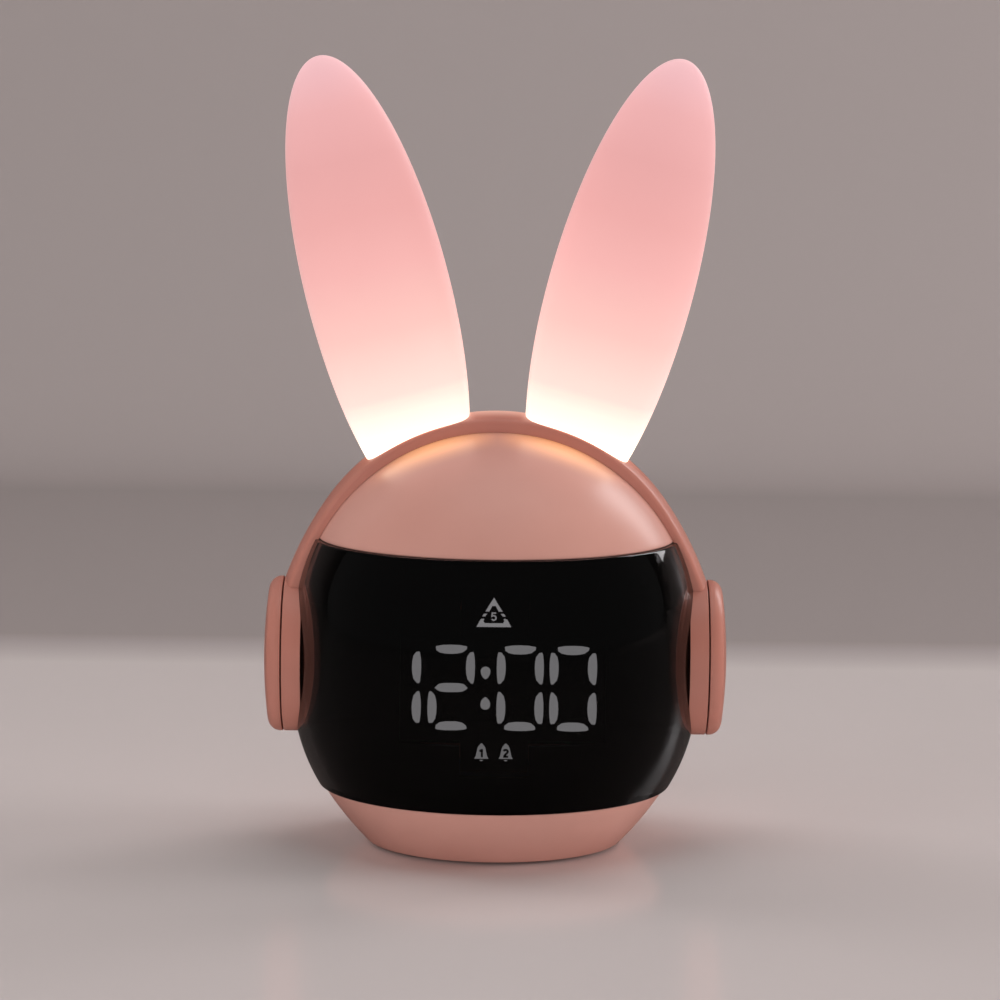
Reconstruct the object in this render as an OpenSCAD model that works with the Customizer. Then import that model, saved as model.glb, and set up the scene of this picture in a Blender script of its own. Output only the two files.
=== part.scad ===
// Alarm clock with a night light in two long ears.
// A round body stands on its base, a headband arches over the crown, and a round cup sits on each side.
// Origin: middle of the base, on the table. +Z is up, the display faces -Y and +X is its right.

/* [Body] */
// Largest radius of the round body
body_r = 50.2; // [49.5:0.1:52]
// Height of the widest place of the body
belly_z = 46; // [45:0.5:47]
// Radius of the long arc down the side
belly_arc = 110; // [100:5:130]
// Height where the side runs into the crown
shoulder_z = 60.8; // [58:0.1:61.5]
// Height where the side runs into the lower curve
hip_z = 34; // [33:0.5:35]
// Radius of the lower curve
hip_arc = 46; // [45:0.5:48]
// Radius of the curve between lens and table
base_arc = 80; // [70:5:100]
// Wall of the plastic shells
wall = 2.4; // [2:0.1:2.8]
// Gap between the table and the shells
foot_gap = 0.6; // [0.5:0.1:1]

/* [Lens] */
// Height of the lower edge of the lens
lens_z0 = 14.6; // [13:0.2:16]
// Height of the upper edge of the lens
lens_z1 = 76.2; // [75:0.2:78]
// Thickness of the lens
lens_t = 2; // [1.8:0.1:2.2]
// How far the lens stands proud of the shells
lens_proud = 0.7; // [0.3:0.1:1]
// Wall of the front shell behind the lens
lens_back = 1.9; // [1.6:0.1:2]

/* [Rear] */
// How far the flat back lies inside the largest radius
back_inset = 6.2; // [5.6:0.1:6.6]
// Thickness of the flat back
back_wall = 2.6; // [2.4:0.1:3]
// Width of the control panel
panel_w = 36; // [35:0.5:37]
// Height of the control panel
panel_h = 54; // [53:0.5:55]
// Thickness of the control panel
panel_t = 1.2; // [1:0.1:1.4]
// Height of the middle of the control panel
panel_z = 48; // [47.5:0.1:48.5]

/* [Base] */
// How far the base plate's edge lies inside the largest radius
plate_inset = 22.2; // [21.8:0.1:22.8]
// Thickness of the base plate
plate_t = 1.4; // [1.2:0.1:1.8]
// Width of the shell floor that the base plate seats on
floor_seat = 7; // [6.5:0.1:7.5]
// Thickness of the shell floor
floor_t = 2.2; // [2:0.1:2.6]
// Width of the base plate left bare round the rubber foot
foot_rim = 8; // [7.5:0.5:10]
// Thickness of the rubber foot
foot_t = 1.1; // [1.1:0.1:1.4]

/* [Headband] */
// Width of the headband from front to back
band_w = 16; // [14:0.5:17]
// Height of the headband over the crown of the body
band_rise = 4; // [3.6:0.1:4.8]
// How much larger the headband's outer radius is than the crown's
band_swell = 1.6; // [1.3:0.1:1.9]
// How much larger its outer radius is down the sides than over the crown
band_flatten = 33.7; // [30:0.1:38]

/* [Ear cups] */
// Radius of the ear cups
cup_r = 19.3; // [18:0.1:20]
// Height of the middle of the ear cups
cup_z = 46.6; // [46:0.1:47]
// How far a cup ring reaches into the largest radius
cup_inset = 2.4; // [2:0.1:2.8]
// Width of a cup ring
ring_w = 4.6; // [4.4:0.1:5.2]
// Thickness of a cup button
cap_t = 4.7; // [4.4:0.1:5.2]
// How far the face of a cup button domes out in the middle
cap_crown = 1.1; // [0.4:0.1:1.2]
// Rounding of the outer edge of a cup button
cap_round = 3; // [2:0.1:3.2]
// Radius of the stem under a cup button
stem_r = 6; // [5:0.25:6.5]
// Travel of a cup button
cup_travel = 0.25; // [0.2:0.05:0.5]

/* [Ears] */
// Length of the whole ear oval
ear_len = 118; // [110:1:122]
// Width of the ear oval
ear_w = 35.6; // [33:0.2:37]
// Thickness of the ear oval from front to back
ear_t = 19; // [17:0.5:20]
// How much of the ear oval's length the headband cuts off
ear_sink = 23.5; // [22:0.1:25]
// Place of the ear on the headband, as an angle from straight up
ear_foot_a = 23.8; // [23:0.1:25]
// Outward lean of the ears
ear_tilt = 15; // [13:0.5:16]
// Wall of the hollow ears
ear_wall = 2; // [1.6:0.1:2.4]
// Radius of the ear plug that passes through the headband
plug_r = 5.5; // [5:0.1:6]

/* [Display] */
// Sideways place of the middle of the display
display_x = -2.2; // [-3:0.1:0]
// Height of the middle of the digits
display_z = 44.8; // [44:0.05:46]
// Gap between the display's corners and the lens, at the widest place
display_gap = 1.65; // [1.5:0.05:2.5]
// Depth of the display block
display_t = 7; // [6:0.5:7]
// Half the width of a digit, between segment centres
digit_half_w = 4.49; // [4:0.01:4.6]
// Height from the middle to the top segment
digit_half_h = 9.22; // [8.5:0.01:9.4]
// Width of one segment
segment_w = 2.3; // [1.8:0.1:2.4]
// Length of one segment
segment_l = 7.8; // [7:0.1:7.9]

/* [Controls] */
// Radius of a rear button
button_r = 3.2; // [2.8:0.1:3.4]
// How far a rear button stands proud of the panel
button_proud = 0.9; // [0.6:0.1:1.4]
// Travel of a rear button
button_travel = 0.4; // [0.2:0.05:0.45]
// Sideways pitch of the rear buttons
button_dx = 11; // [10.5:0.1:11.2]
// Height of the upper row of rear buttons
row_a_z = 44.5; // [44:0.1:44.8]
// Height of the lower row of rear buttons
row_b_z = 35; // [34:0.1:35.5]
// Travel of the power switch
switch_travel = 4; // [3:0.5:4]
// Height of the USB socket
usb_z = 26.4; // [26:0.1:27]

/* [Inside] */
// Radius of the loudspeaker
speaker_r = 12; // [10.5:0.5:12.5]
// Height of the middle of the loudspeaker
speaker_z = 62.5; // [62:0.1:63]
// Depth of the loudspeaker
speaker_t = 8; // [6:0.5:9]
// Radius of the round battery cell
cell_r = 7; // [5:0.1:7]
// How far each end of the battery cell lies inside the base plate's edge
cell_inset = 3; // [3:0.5:8]
// Distance from the flat back to the back face of the main board
board_inset = 12.4; // [12:0.1:13]
// Thickness of the circuit boards
board_t = 1.6; // [1:0.1:1.6]
// How far the case screws lie inside the largest radius
screw_inset = 21.2; // [20.7:0.1:21.7]

/* [Hidden] */
$fn = 120;

// Clearances
fit = 0.1;
seat_gap = 0.05;
button_gap = 0.3;
overlap = 0.5;

// Colours
shell_pink = "#e0ab9f";
band_pink = "#cf9488";
ear_pink = "#f3c0bd";
board_green = "#2f6b45";

// Body curve: each arc runs into the next without a corner
shoulder_a = asin((shoulder_z - belly_z) / belly_arc);
hip_a = asin((hip_z - belly_z) / belly_arc);
crown_z = snap(belly_z + (belly_arc - body_r) * tan(shoulder_a));
crown_r = belly_arc - (belly_arc - body_r) / cos(shoulder_a);
hip_centre_z = snap(belly_z + (belly_arc - hip_arc) * sin(hip_a));
base_a = asin((lens_z0 - hip_centre_z) / hip_arc);
base_centre_z = snap(hip_centre_z - (base_arc - hip_arc) * sin(base_a));
body_top = crown_z + crown_r;
far = 2 * body_top;

// Floor and base
plate_r = body_r - plate_inset;
floor_hole_r = plate_r - floor_seat;
floor_z = foot_gap + plate_t;
floor_top = floor_z + floor_t;
foot_r = plate_r - foot_rim;
base_screw_r = plate_r - 3;
base_boss_r = 3;
base_boss_h = 6;

// Headband: the crown arc meets the side arcs at this angle above level
band_join_a = 35;
band_crown_r = snap(crown_r + band_swell);
band_side_r = band_crown_r + band_flatten;
band_crown_z = snap(body_top + band_rise - band_crown_r);
band_join = [band_crown_r * cos(band_join_a), band_crown_z + band_crown_r * sin(band_join_a)];
band_side_c = band_join - band_side_r * [cos(band_join_a), sin(band_join_a)];

// Ear cups
cup_x = body_r - cup_inset;
ring_out = cup_x + ring_w;
ring_face_t = 1.8;
cap_x = ring_out + cup_travel + seat_gap * 2;
spigot_r = stem_r + 0.9;
lens_notch_r = cup_r - 2 * wall;
stem_end = cup_x - 1.8;
cup_switch_x = stem_end - cup_travel - seat_gap * 2;
tact_h = 3.5;
tact_w = 6;
tact_plunger_r = 1.7;
tact_plunger_h = 1.2;
cup_board_x = cup_switch_x - tact_plunger_h - tact_h;
cup_board_t = 1.2;

// Ears, measured along the ear from its middle
plug_bore_r = plug_r - 1;
band_cross = ear_len / 2 - ear_sink;
ear_x = band_crown_r * sin(ear_foot_a) + band_cross * sin(ear_tilt);
ear_z = band_crown_z + band_crown_r * cos(ear_foot_a) + band_cross * cos(ear_tilt);
plug_end = band_cross + band_rise + wall + 5.1;
plug_len = plug_end - band_cross + 1.5;
ear_floor = 2.4;
plug_hole_turn = 70;
clip_from = plug_end - 1.5;
clip_t = 1.4;
clip_r = plug_r + 2.6;
light_board_t = 1;
led_r = 1.6;
led_h = 2.4;

// Display outline
digits_left = display_x - 20;
digits_right = display_x + 28.2;
digits_low = display_z - 12.6;
digits_high = display_z + 12.8;
icons_half_w = 8;
icons_low = display_z - 20.1;
icons_high = display_z + 24.3;
triangle_x = -0.4;
triangle_z = display_z + 14.6;
triangle_w = 8.2;
triangle_h = 7.2;
triangle_line = 0.95;
bell_xs = [-3, 2.75];
bell_z = display_z - 17.6;
bell_w = 3.4;
bell_h = 4.3;
display_y = sqrt(pow(body_r - lens_t - display_gap, 2) - pow(digits_right, 2));
display_back = display_y - display_t;
window_gap = 0.3;
display_post_r = 2.2;
display_mid_x = (digits_left + digits_right) / 2;
display_post_x = (digits_right - digits_left) / 2 + window_gap + display_post_r + 0.2;
display_post_zs = [digits_low, digits_high + 2.7];
display_posts = [for (x = [-1, 1], z = display_post_zs) [display_mid_x + x * display_post_x, z]];
display_board_rim = 2;
display_board_half = display_post_x + display_board_rim;
display_board_z0 = display_post_zs[0] - display_board_rim;
display_board_z1 = display_post_zs[1] + display_board_rim;

// Rear
back_y = body_r - back_inset;
back_inner = back_y - back_wall;
board_y = back_y - board_inset;
panel_recess = 1;
panel_in = back_y - panel_recess;
panel_out = panel_in + panel_t;
button_out = panel_out + button_proud;
tact_top = board_y + tact_h + tact_plunger_h;
button_in = tact_top + button_travel + seat_gap * 2;
button_flange_r = button_r + 1;
button_flange_t = 0.8;
button_flange_out = back_inner - seat_gap * 4;
knob_w = 3.6;
knob_h = 3.4;
knob_skirt_w = 8;
knob_skirt_h = 5.4;
slot_w = switch_travel + knob_w + 2 * button_gap;
slot_h = knob_h + 2 * button_gap;
knob_x = -switch_travel / 2;
slide_switch_h = 3.6;
usb_w = 8.9;
usb_h = 3.2;
usb_len = 7.3;
usb_wall = 0.3;
usb_tongue_t = 0.7;
usb_out = panel_out - seat_gap;
board_half_w = 20;
board_z0 = row_b_z - 12;
board_z1 = row_a_z + 4.5;
standoff_r = 2.2;
standoffs = [for (x = [-1, 1], z = [board_z0 + 2.5, board_z1 - 2.2]) [x * (board_half_w - 2.5), z]];

// Loudspeaker
grille_r = 8.6;
grille_hole_r = 0.75;
grille_pitch = 2.7;
grille_rings = 3;
speaker_rim_t = 1.2;
speaker_cup_t = 1.2;
gasket_t = 0.6;
speaker_front = back_inner - gasket_t;

// Battery
cell_l = 2 * (plate_r - cell_inset);
cell_z = floor_top + cell_r + 2;
holder_wall = 1.6;
contact_t = 0.5;
contact_w = 8;
cell_nub = 0.9;
contact_spring_l = 2;
holder_half_l = cell_l / 2 + cell_nub + contact_spring_l + contact_t + holder_wall;

// Case screws
screw_x = body_r - screw_inset;
case_zs = [22, 70];
case_boss_r = 3.5;
case_split_y = 6;
case_screw_r = 1.5;
case_pilot_r = 1.25;
case_head_r = 2.8;
case_head_t = 2;
case_head_y = case_split_y + 6;
case_pilot_len = 14;

// ---- Profiles ----

// Rounded to a thousandth
function snap(v) = round(v * 1000) / 1000;

// Reach of an arc from its own centre, at height z
function reach(r, centre_z, z) = sqrt(r * r - (z - centre_z) * (z - centre_z));

// One arc of the body, as the area between the axis and the arc.
// The centre is set in a coarse and a fine step, so that neighbouring arcs end on one point.
module arc_strip(centre_x, centre_z, r, z0, z1) {
    intersection() {
        translate([snap(centre_x), centre_z]) translate([centre_x - snap(centre_x), 0]) circle(r);
        translate([0, z0]) square([far, z1 - z0]);
    }
}

// Half section of the body, with its surface moved inwards by inset.
// Each arc starts where the one above it ends.
module body_profile(inset = 0) {
    crown = snap(crown_r - inset);
    belly = snap(belly_arc - inset);
    hip = snap(hip_arc - inset);
    base = snap(base_arc - inset);
    shoulder_at = snap(crown_z + crown * sin(shoulder_a));
    hip_at = snap(belly_z + belly * sin(hip_a));
    base_at = snap(hip_centre_z + hip * sin(base_a));
    belly_x = reach(crown, crown_z, shoulder_at) - reach(belly, belly_z, shoulder_at);
    hip_x = belly_x + reach(belly, belly_z, hip_at) - reach(hip, hip_centre_z, hip_at);
    base_x = hip_x + reach(hip, hip_centre_z, base_at) - reach(base, base_centre_z, base_at);
    arc_strip(0, crown_z, crown, shoulder_at, far);
    arc_strip(belly_x, belly_z, belly, hip_at, shoulder_at);
    arc_strip(hip_x, hip_centre_z, hip, base_at, hip_at);
    arc_strip(base_x, base_centre_z, base, foot_gap, base_at);
}

// The part of a half section between two heights
module between(z0, z1) {
    intersection() {
        children();
        translate([0, z0]) square([far, z1 - z0]);
    }
}

// Stadium outline with its round ends up and down
module stadium(w, h) {
    straight = h - w;
    translate([-w / 2, -straight / 2]) square([w, straight]);
    for (s = [-1, 1]) translate([0, s * straight / 2]) intersection() {
        circle(d = w);
        translate([-w / 2, s > 0 ? 0 : -w / 2]) square([w, w / 2]);
    }
}

// Upright outline, drawn as X and Z, made into a slab between two distances along Y
module slab(y0, y1) {
    translate([0, y1, 0]) rotate([90, 0, 0]) linear_extrude(y1 - y0) children();
}

// Cylinder along Y
module bar_y(r, y0, y1) {
    translate([0, y0, 0]) rotate([-90, 0, 0]) cylinder(r = r, h = y1 - y0);
}

// Cylinder along X on the cup axis
module bar_x(r, x0, x1) {
    translate([x0, 0, cup_z]) rotate([0, 90, 0]) cylinder(r = r, h = x1 - x0);
}

// Puts right-hand children on the wanted side
module on_side(side) {
    mirror([side < 0 ? 1 : 0, 0, 0]) children();
}

module body_solid(inset = 0) {
    rotate_extrude() body_profile(inset);
}

// ---- Shells ----

module floor_cut() {
    square([plate_r + fit, floor_z]);
    square([floor_hole_r, floor_top + overlap]);
}

module front_section() {
    lens_seat = lens_t + seat_gap;
    difference() {
        body_profile();
        difference() {
            translate([0, lens_z0 - seat_gap]) square([far, lens_z1 - lens_z0 + 2 * seat_gap]);
            body_profile(lens_seat);
        }
        between(floor_top, far) body_profile(lens_seat + lens_back);
        between(lens_z1 + wall, far) body_profile(wall);
        between(floor_top, lens_z0 - wall) body_profile(wall);
        floor_cut();
    }
}

module rear_section() {
    difference() {
        body_profile();
        between(floor_top, far) body_profile(wall);
        floor_cut();
    }
}

// Everything behind the middle plane, up to a distance y
module before_y(y) {
    translate([-far / 2, -1, 0]) cube([far, y + 1, far]);
}

module base_bosses(ys) {
    for (x = [-1, 1], y = ys) translate([x * base_screw_r * cos(45), y * base_screw_r * sin(45), floor_z])
        cylinder(r = base_boss_r, h = base_boss_h);
}

module base_pilots(r, z0, z1) {
    for (x = [-1, 1], y = [-1, 1])
        translate([x * base_screw_r * cos(45), y * base_screw_r * sin(45), z0])
            cylinder(r = r, h = z1 - z0);
}

module case_bosses(y0, y1) {
    for (x = [-1, 1], z = case_zs) translate([x * screw_x, 0, z]) bar_y(case_boss_r, y0, y1);
}

// Holes for the ear plugs, through the crown and the headband.
// Each is turned, so that the line where its wall closes lies off the plane where the shells meet.
module plug_holes() {
    for (s = [-1, 1]) on_side(s) ear_frame() translate([0, 0, -plug_end - plug_len]) rotate(plug_hole_turn)
        cylinder(r = plug_r + fit, h = plug_end + plug_len - band_cross + 2 * plug_r);
}

// Room that the headband and the cups leave for the body and its lens
module body_clearance() {
    body_solid(-seat_gap);
    rotate_extrude(angle = 180, start = 180)
        between(lens_z0, lens_z1 + seat_gap) body_profile(-lens_proud - seat_gap);
}

module cup_holes() {
    for (s = [-1, 1]) on_side(s) bar_x(spigot_r + fit, cup_board_x, ring_out);
}

module display_outline(grow = 0) {
    translate([digits_left - grow, digits_low - grow])
        square([digits_right - digits_left + 2 * grow, digits_high - digits_low + 2 * grow]);
    translate([-icons_half_w - grow, icons_low - grow])
        square([2 * (icons_half_w + grow), icons_high - icons_low + 2 * grow]);
}

module front_shell() {
    color(shell_pink) difference() {
        union() {
            rotate_extrude(angle = 180, start = 180) front_section();
            intersection() {
                union() {
                    case_bosses(-far / 2, case_split_y);
                    base_bosses([-1]);
                    for (p = display_posts) translate([p.x, 0, p.y])
                        bar_y(display_post_r, -far / 2, -display_back);
                }
                body_solid(lens_t + lens_back / 2);
            }
        }
        slab(-far / 2, -display_back + overlap) display_outline(window_gap);
        for (x = [-1, 1], z = case_zs) translate([x * screw_x, 0, z])
            bar_y(case_pilot_r, case_split_y - case_pilot_len, case_split_y + 1);
        for (p = display_posts) translate([p.x, 0, p.y]) bar_y(0.8, -display_back - 3, -display_back + 1);
        base_pilots(0.8, floor_z - 1, floor_z + base_boss_h - 1);
        plug_holes();
        cup_holes();
    }
}

module front_lens() {
    color("#0b0a0c") difference() {
        rotate_extrude(angle = 180, start = 180) between(lens_z0, lens_z1) difference() {
            body_profile(-lens_proud);
            body_profile(lens_t);
        }
        bar_x(lens_notch_r, -far / 2, far / 2);
    }
}

module rear_shell() {
    color(shell_pink) difference() {
        union() {
            intersection() {
                mirror([0, 1, 0]) rotate_extrude(angle = 180, start = 180) rear_section();
                before_y(back_y);
            }
            intersection() {
                mirror([0, 1, 0]) rotate_extrude(angle = 180, start = 180) body_profile(wall / 2);
                translate([-far / 2, back_inner, 0]) cube([far, back_wall, far]);
            }
            intersection() {
                union() {
                    case_bosses(case_split_y + seat_gap, far / 2);
                    base_bosses([1]);
                    for (p = standoffs) translate([p.x, 0, p.y]) bar_y(standoff_r, board_y, far / 2);
                    translate([0, 0, speaker_z]) bar_y(speaker_r + 1.3, speaker_front - 3, far / 2);
                }
                body_solid(wall / 2);
                before_y(back_inner + overlap);
            }
        }
        translate([0, 0, speaker_z]) bar_y(speaker_r + fit, speaker_front - 4, back_inner);
        translate([0, 0, speaker_z]) bar_y(grille_r, back_inner - 1, back_y + 1);
        slab(panel_in, back_y + 1) translate([0, panel_z]) stadium(panel_w + 2 * fit, panel_h + 2 * fit);
        for (p = button_places()) translate([p.x, 0, p.y]) bar_y(button_r + button_gap, board_y, back_y + 1);
        slab(back_inner - 1, back_y + 1) translate([-slot_w / 2, row_b_z - slot_h / 2]) square([slot_w, slot_h]);
        slab(back_inner - 1, back_y + 1) usb_outline(fit * 2);
        for (x = [-1, 1], z = case_zs) translate([x * screw_x, 0, z]) {
            bar_y(case_screw_r + fit, case_split_y - 1, far / 2);
            bar_y(case_head_r + fit, case_head_y, far / 2);
        }
        for (p = standoffs) translate([p.x, 0, p.y]) bar_y(0.8, board_y - 1, board_y + 5);
        base_pilots(0.8, floor_z - 1, floor_z + base_boss_h - 1);
        plug_holes();
        cup_holes();
    }
}

// ---- Base ----

module base_plate() {
    color(shell_pink) difference() {
        translate([0, 0, foot_gap]) cylinder(r = plate_r, h = plate_t);
        base_pilots(1.2, 0, far);
        base_pilots(2.1, 0, foot_gap + 0.8);
        cylinder(r = foot_r + seat_gap, h = foot_t);
    }
}

// Round pad in a shallow recess of the base plate
module rubber_foot() {
    color("#d9d4cf") cylinder(r = foot_r, h = foot_t);
}

module base_screws() {
    color("#8f9296") {
        base_pilots(0.75, foot_gap + 0.1, floor_z + 4);
        base_pilots(1.9, foot_gap + 0.1, foot_gap + 0.75);
    }
}

// ---- Headband ----

// Outline of the arch and all below it, moved outwards by grow
module band_outline(grow = 0) {
    translate([0, band_crown_z]) circle(band_crown_r + grow);
    intersection() {
        translate(band_side_c) circle(band_side_r + grow);
        translate([-band_side_c.x, band_side_c.y]) circle(band_side_r + grow);
        translate([-far / 2, cup_z - cup_r])
            square([far, band_join.y - cup_z + cup_r + grow * sin(band_join_a)]);
    }
}

module headband() {
    color(band_pink) difference() {
        slab(-band_w / 2, band_w / 2) intersection() {
            band_outline();
            translate([-far / 2, cup_z]) square([far, far]);
        }
        body_clearance();
        for (s = [-1, 1]) on_side(s) bar_x(cup_r + seat_gap, cup_x - 10, ring_out + 10);
        plug_holes();
    }
}

// ---- Ear cups ----

module cup_ring(side) {
    color(band_pink) on_side(side) difference() {
        union() {
            difference() {
                bar_x(cup_r, cup_x, ring_out);
                bar_x(cup_r - wall, cup_x - 1, ring_out - ring_face_t);
                body_clearance();
            }
            bar_x(spigot_r, cup_board_x, ring_out);
        }
        bar_x(stem_r + fit, cup_board_x - 1, ring_out + 1);
    }
}

// Half section of a cup button: radius across, thickness up, under a slight dome
module cap_section() {
    face_r = cup_r - cap_round;
    round_z = cap_t - cap_crown - cap_round;
    dome_r = (face_r * face_r + cap_crown * cap_crown) / (2 * cap_crown);
    square([cup_r, round_z]);
    square([face_r, cap_t - cap_crown]);
    translate([face_r, round_z]) intersection() {
        circle(cap_round);
        square(cap_round);
    }
    intersection() {
        translate([0, cap_t - dome_r]) circle(dome_r);
        square([face_r, cap_t]);
    }
}

module cup_button(side) {
    color(shell_pink) on_side(side) {
        translate([cap_x, 0, cup_z]) rotate([0, 90, 0]) rotate_extrude() difference() {
            cap_section();
            translate([stem_r + 2, -1]) square([cup_r - cap_round - stem_r - 2, cap_t - cap_crown - 1]);
        }
        bar_x(stem_r, stem_end, cap_x + overlap);
    }
}

// Push switch on its own small round board, at the inner end of the spigot
module cup_switch(side) {
    color(board_green) on_side(side) {
        bar_x(spigot_r, cup_board_x - cup_board_t, cup_board_x);
        translate([cup_board_x - overlap, -tact_w / 2, cup_z - tact_w / 2])
            cube([tact_h + overlap, tact_w, tact_w]);
        bar_x(tact_plunger_r, cup_board_x, cup_switch_x);
    }
}

// ---- Ears ----

// Places children in the frame of the right ear: Z runs along the ear from its middle
module ear_frame() {
    translate([ear_x, 0, ear_z]) rotate([0, ear_tilt, 0]) children();
}

module ear_oval(inset = 0) {
    half = ear_len / 2 - inset;
    ear_frame() scale([(ear_w / 2 - inset) / half, (ear_t / 2 - inset) / half, 1]) sphere(half);
}

module ear(side) {
    color(ear_pink) on_side(side) difference() {
        union() {
            difference() {
                ear_oval();
                slab(-ear_t, ear_t) band_outline(seat_gap);
            }
            ear_frame() translate([0, 0, -plug_end]) cylinder(r = plug_r, h = plug_len);
        }
        difference() {
            ear_oval(ear_wall);
            slab(-ear_t, ear_t) band_outline(seat_gap + ear_floor);
        }
        ear_frame() translate([0, 0, -plug_end - 1]) cylinder(r = plug_bore_r, h = plug_len + 4);
    }
}

// Ring that grips the ear plug under the crown
module ear_clip(side) {
    color("#c9c4bd") on_side(side) ear_frame() translate([0, 0, -clip_from]) difference() {
        cylinder(r = clip_r, h = clip_t);
        translate([0, 0, -1]) cylinder(r = plug_r + seat_gap, h = clip_t + 2);
    }
}

// Round board with one light under the ear plug
module ear_light(side) {
    color("#f4f1e6") on_side(side) ear_frame() translate([0, 0, -plug_end - light_board_t]) {
        cylinder(r = plug_r, h = light_board_t);
        cylinder(r = led_r, h = light_board_t + led_h);
        translate([0, 0, light_board_t + led_h]) sphere(led_r);
    }
}

// ---- Display ----

// One upright segment, from [0, 0] to [segment_w, segment_l], with its flat side to the right
module side_segment() {
    shape = [[0.5, 1], [0.82, 1], [0.97, 0.75], [1, 0.5], [0.97, 0.25], [0.82, 0], [0.5, 0],
        [0.1, 0.16], [0, 0.35], [0, 0.65], [0.1, 0.84]];
    polygon([for (p = shape) [p.x * segment_w, p.y * segment_l]]);
}

module middle_segment() {
    shape = [[-0.5, 0], [-0.38, 0.4], [-0.2, 0.5], [0.2, 0.5], [0.38, 0.4],
        [0.5, 0], [0.38, -0.4], [0.2, -0.5], [-0.2, -0.5], [-0.38, -0.4]];
    polygon([for (p = shape) [p.x * segment_l, p.y * segment_w]]);
}

module right_segment() {
    translate([digit_half_w - segment_w / 2, 0]) side_segment();
}

// The seven segments of a digit, named by letter from the top and on round to the middle
module digit(letters) {
    lift = (digit_half_h - segment_l) / 2 + 0.15;
    for (c = letters) {
        if (c == "b") translate([0, lift]) right_segment();
        if (c == "c") mirror([0, 1]) translate([0, lift]) right_segment();
        if (c == "f") mirror([1, 0]) translate([0, lift]) right_segment();
        if (c == "e") rotate(180) translate([0, lift]) right_segment();
        if (c == "a") translate([segment_l / 2, digit_half_h - segment_w / 2]) rotate(90) side_segment();
        if (c == "d") mirror([0, 1]) translate([segment_l / 2, digit_half_h - segment_w / 2])
            rotate(90) side_segment();
        if (c == "g") middle_segment();
    }
}

module time_outline() {
    digits = [["bc", -20.75], ["abged", -8.07], ["abcdef", 8.18], ["abcdef", 20.65]];
    for (d = digits) translate([display_x + d[1], display_z]) digit(d[0]);
    for (s = [-1, 1]) translate([display_x, display_z + s * 3.7]) circle(1.2);
}

module triangle_outline() {
    inner = triangle_line * 2.1;
    translate([triangle_x, triangle_z]) difference() {
        polygon([[-triangle_w / 2, 0], [triangle_w / 2, 0], [0, triangle_h]]);
        polygon([[-triangle_w / 2 + inner * 0.9, triangle_line], [triangle_w / 2 - inner * 0.9, triangle_line],
            [0, triangle_h - inner]]);
        for (z = [2.2, 3.2]) translate([-triangle_w, z]) square([2 * triangle_w, 0.35]);
    }
}

module bell_outline() {
    polygon([[-bell_w / 2, 0.55], [bell_w / 2, 0.55], [bell_w * 0.4, 1.1], [bell_w * 0.27, 3.3],
        [bell_w * 0.1, bell_h - 0.2], [0, bell_h], [-bell_w * 0.1, bell_h - 0.2],
        [-bell_w * 0.27, 3.3], [-bell_w * 0.4, 1.1]]);
}

module icon_outlines() {
    triangle_outline();
    for (x = bell_xs) translate([x, bell_z]) bell_outline();
}

module display_frame() {
    color("#141316") difference() {
        slab(-display_y, -display_back) display_outline();
        slab(-display_y - 1, -display_y + 1) {
            time_outline();
            icon_outlines();
        }
    }
}

module display_segments() {
    color("#9a9a9a") slab(-display_y, -display_y + 1) time_outline();
}

module display_icons() {
    color("#b0b0b0") slab(-display_y, -display_y + 1) icon_outlines();
}

module display_board() {
    color(board_green) difference() {
        slab(-display_back, -display_back + board_t) {
            translate([display_mid_x - display_board_half, display_board_z0])
                square([2 * display_board_half, display_board_z1 - display_board_z0]);
            translate([-icons_half_w, icons_low]) square([2 * icons_half_w, icons_high - icons_low]);
        }
        for (p = display_posts) translate([p.x, 0, p.y]) bar_y(1.1, -display_back - 1, -display_back + 3);
    }
}

module display_screws() {
    color("#8f9296") for (p = display_posts) translate([p.x, 0, p.y]) {
        bar_y(0.75, -display_back - 2.5, -display_back + board_t + 0.5);
        bar_y(1.9, -display_back + board_t, -display_back + board_t + 1.2);
    }
}

// ---- Loudspeaker and battery ----

module speaker() {
    color("#3a3a3d") translate([0, speaker_front, speaker_z]) rotate([90, 0, 0]) rotate_extrude() {
        difference() {
            square([speaker_r, speaker_rim_t + speaker_cup_t]);
            translate([0, -1]) square([speaker_r - 2.2, 1 + speaker_rim_t]);
        }
        translate([0, speaker_rim_t]) square([speaker_r * 0.8, speaker_t * 0.4]);
        square([speaker_r * 0.28, speaker_rim_t + speaker_cup_t]);
        translate([0, speaker_rim_t]) square([speaker_r * 0.6, speaker_t - speaker_rim_t]);
    }
}

module speaker_gasket() {
    color("#232326") translate([0, back_inner, speaker_z]) rotate([90, 0, 0]) rotate_extrude()
        translate([grille_r + 0.4, 0]) square([speaker_r - grille_r - 0.4, gasket_t]);
}

module battery_cell() {
    color("#3f6fae") translate([-cell_l / 2, 0, cell_z]) rotate([0, 90, 0]) {
        cylinder(r = cell_r, h = cell_l);
        cylinder(r = cell_r * 0.35, h = cell_l + cell_nub);
    }
}

module battery_holder() {
    color("#1f1f22") difference() {
        translate([-holder_half_l, -cell_r - holder_wall, floor_top])
            cube([2 * holder_half_l, 2 * (cell_r + holder_wall), cell_z - floor_top + 1]);
        translate([-holder_half_l + holder_wall, 0, cell_z]) rotate([0, 90, 0])
            cylinder(r = cell_r + fit, h = 2 * (holder_half_l - holder_wall));
        translate([-holder_half_l + holder_wall, -cell_r - fit, cell_z])
            cube([2 * (holder_half_l - holder_wall), 2 * (cell_r + fit), cell_r]);
    }
}

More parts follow.
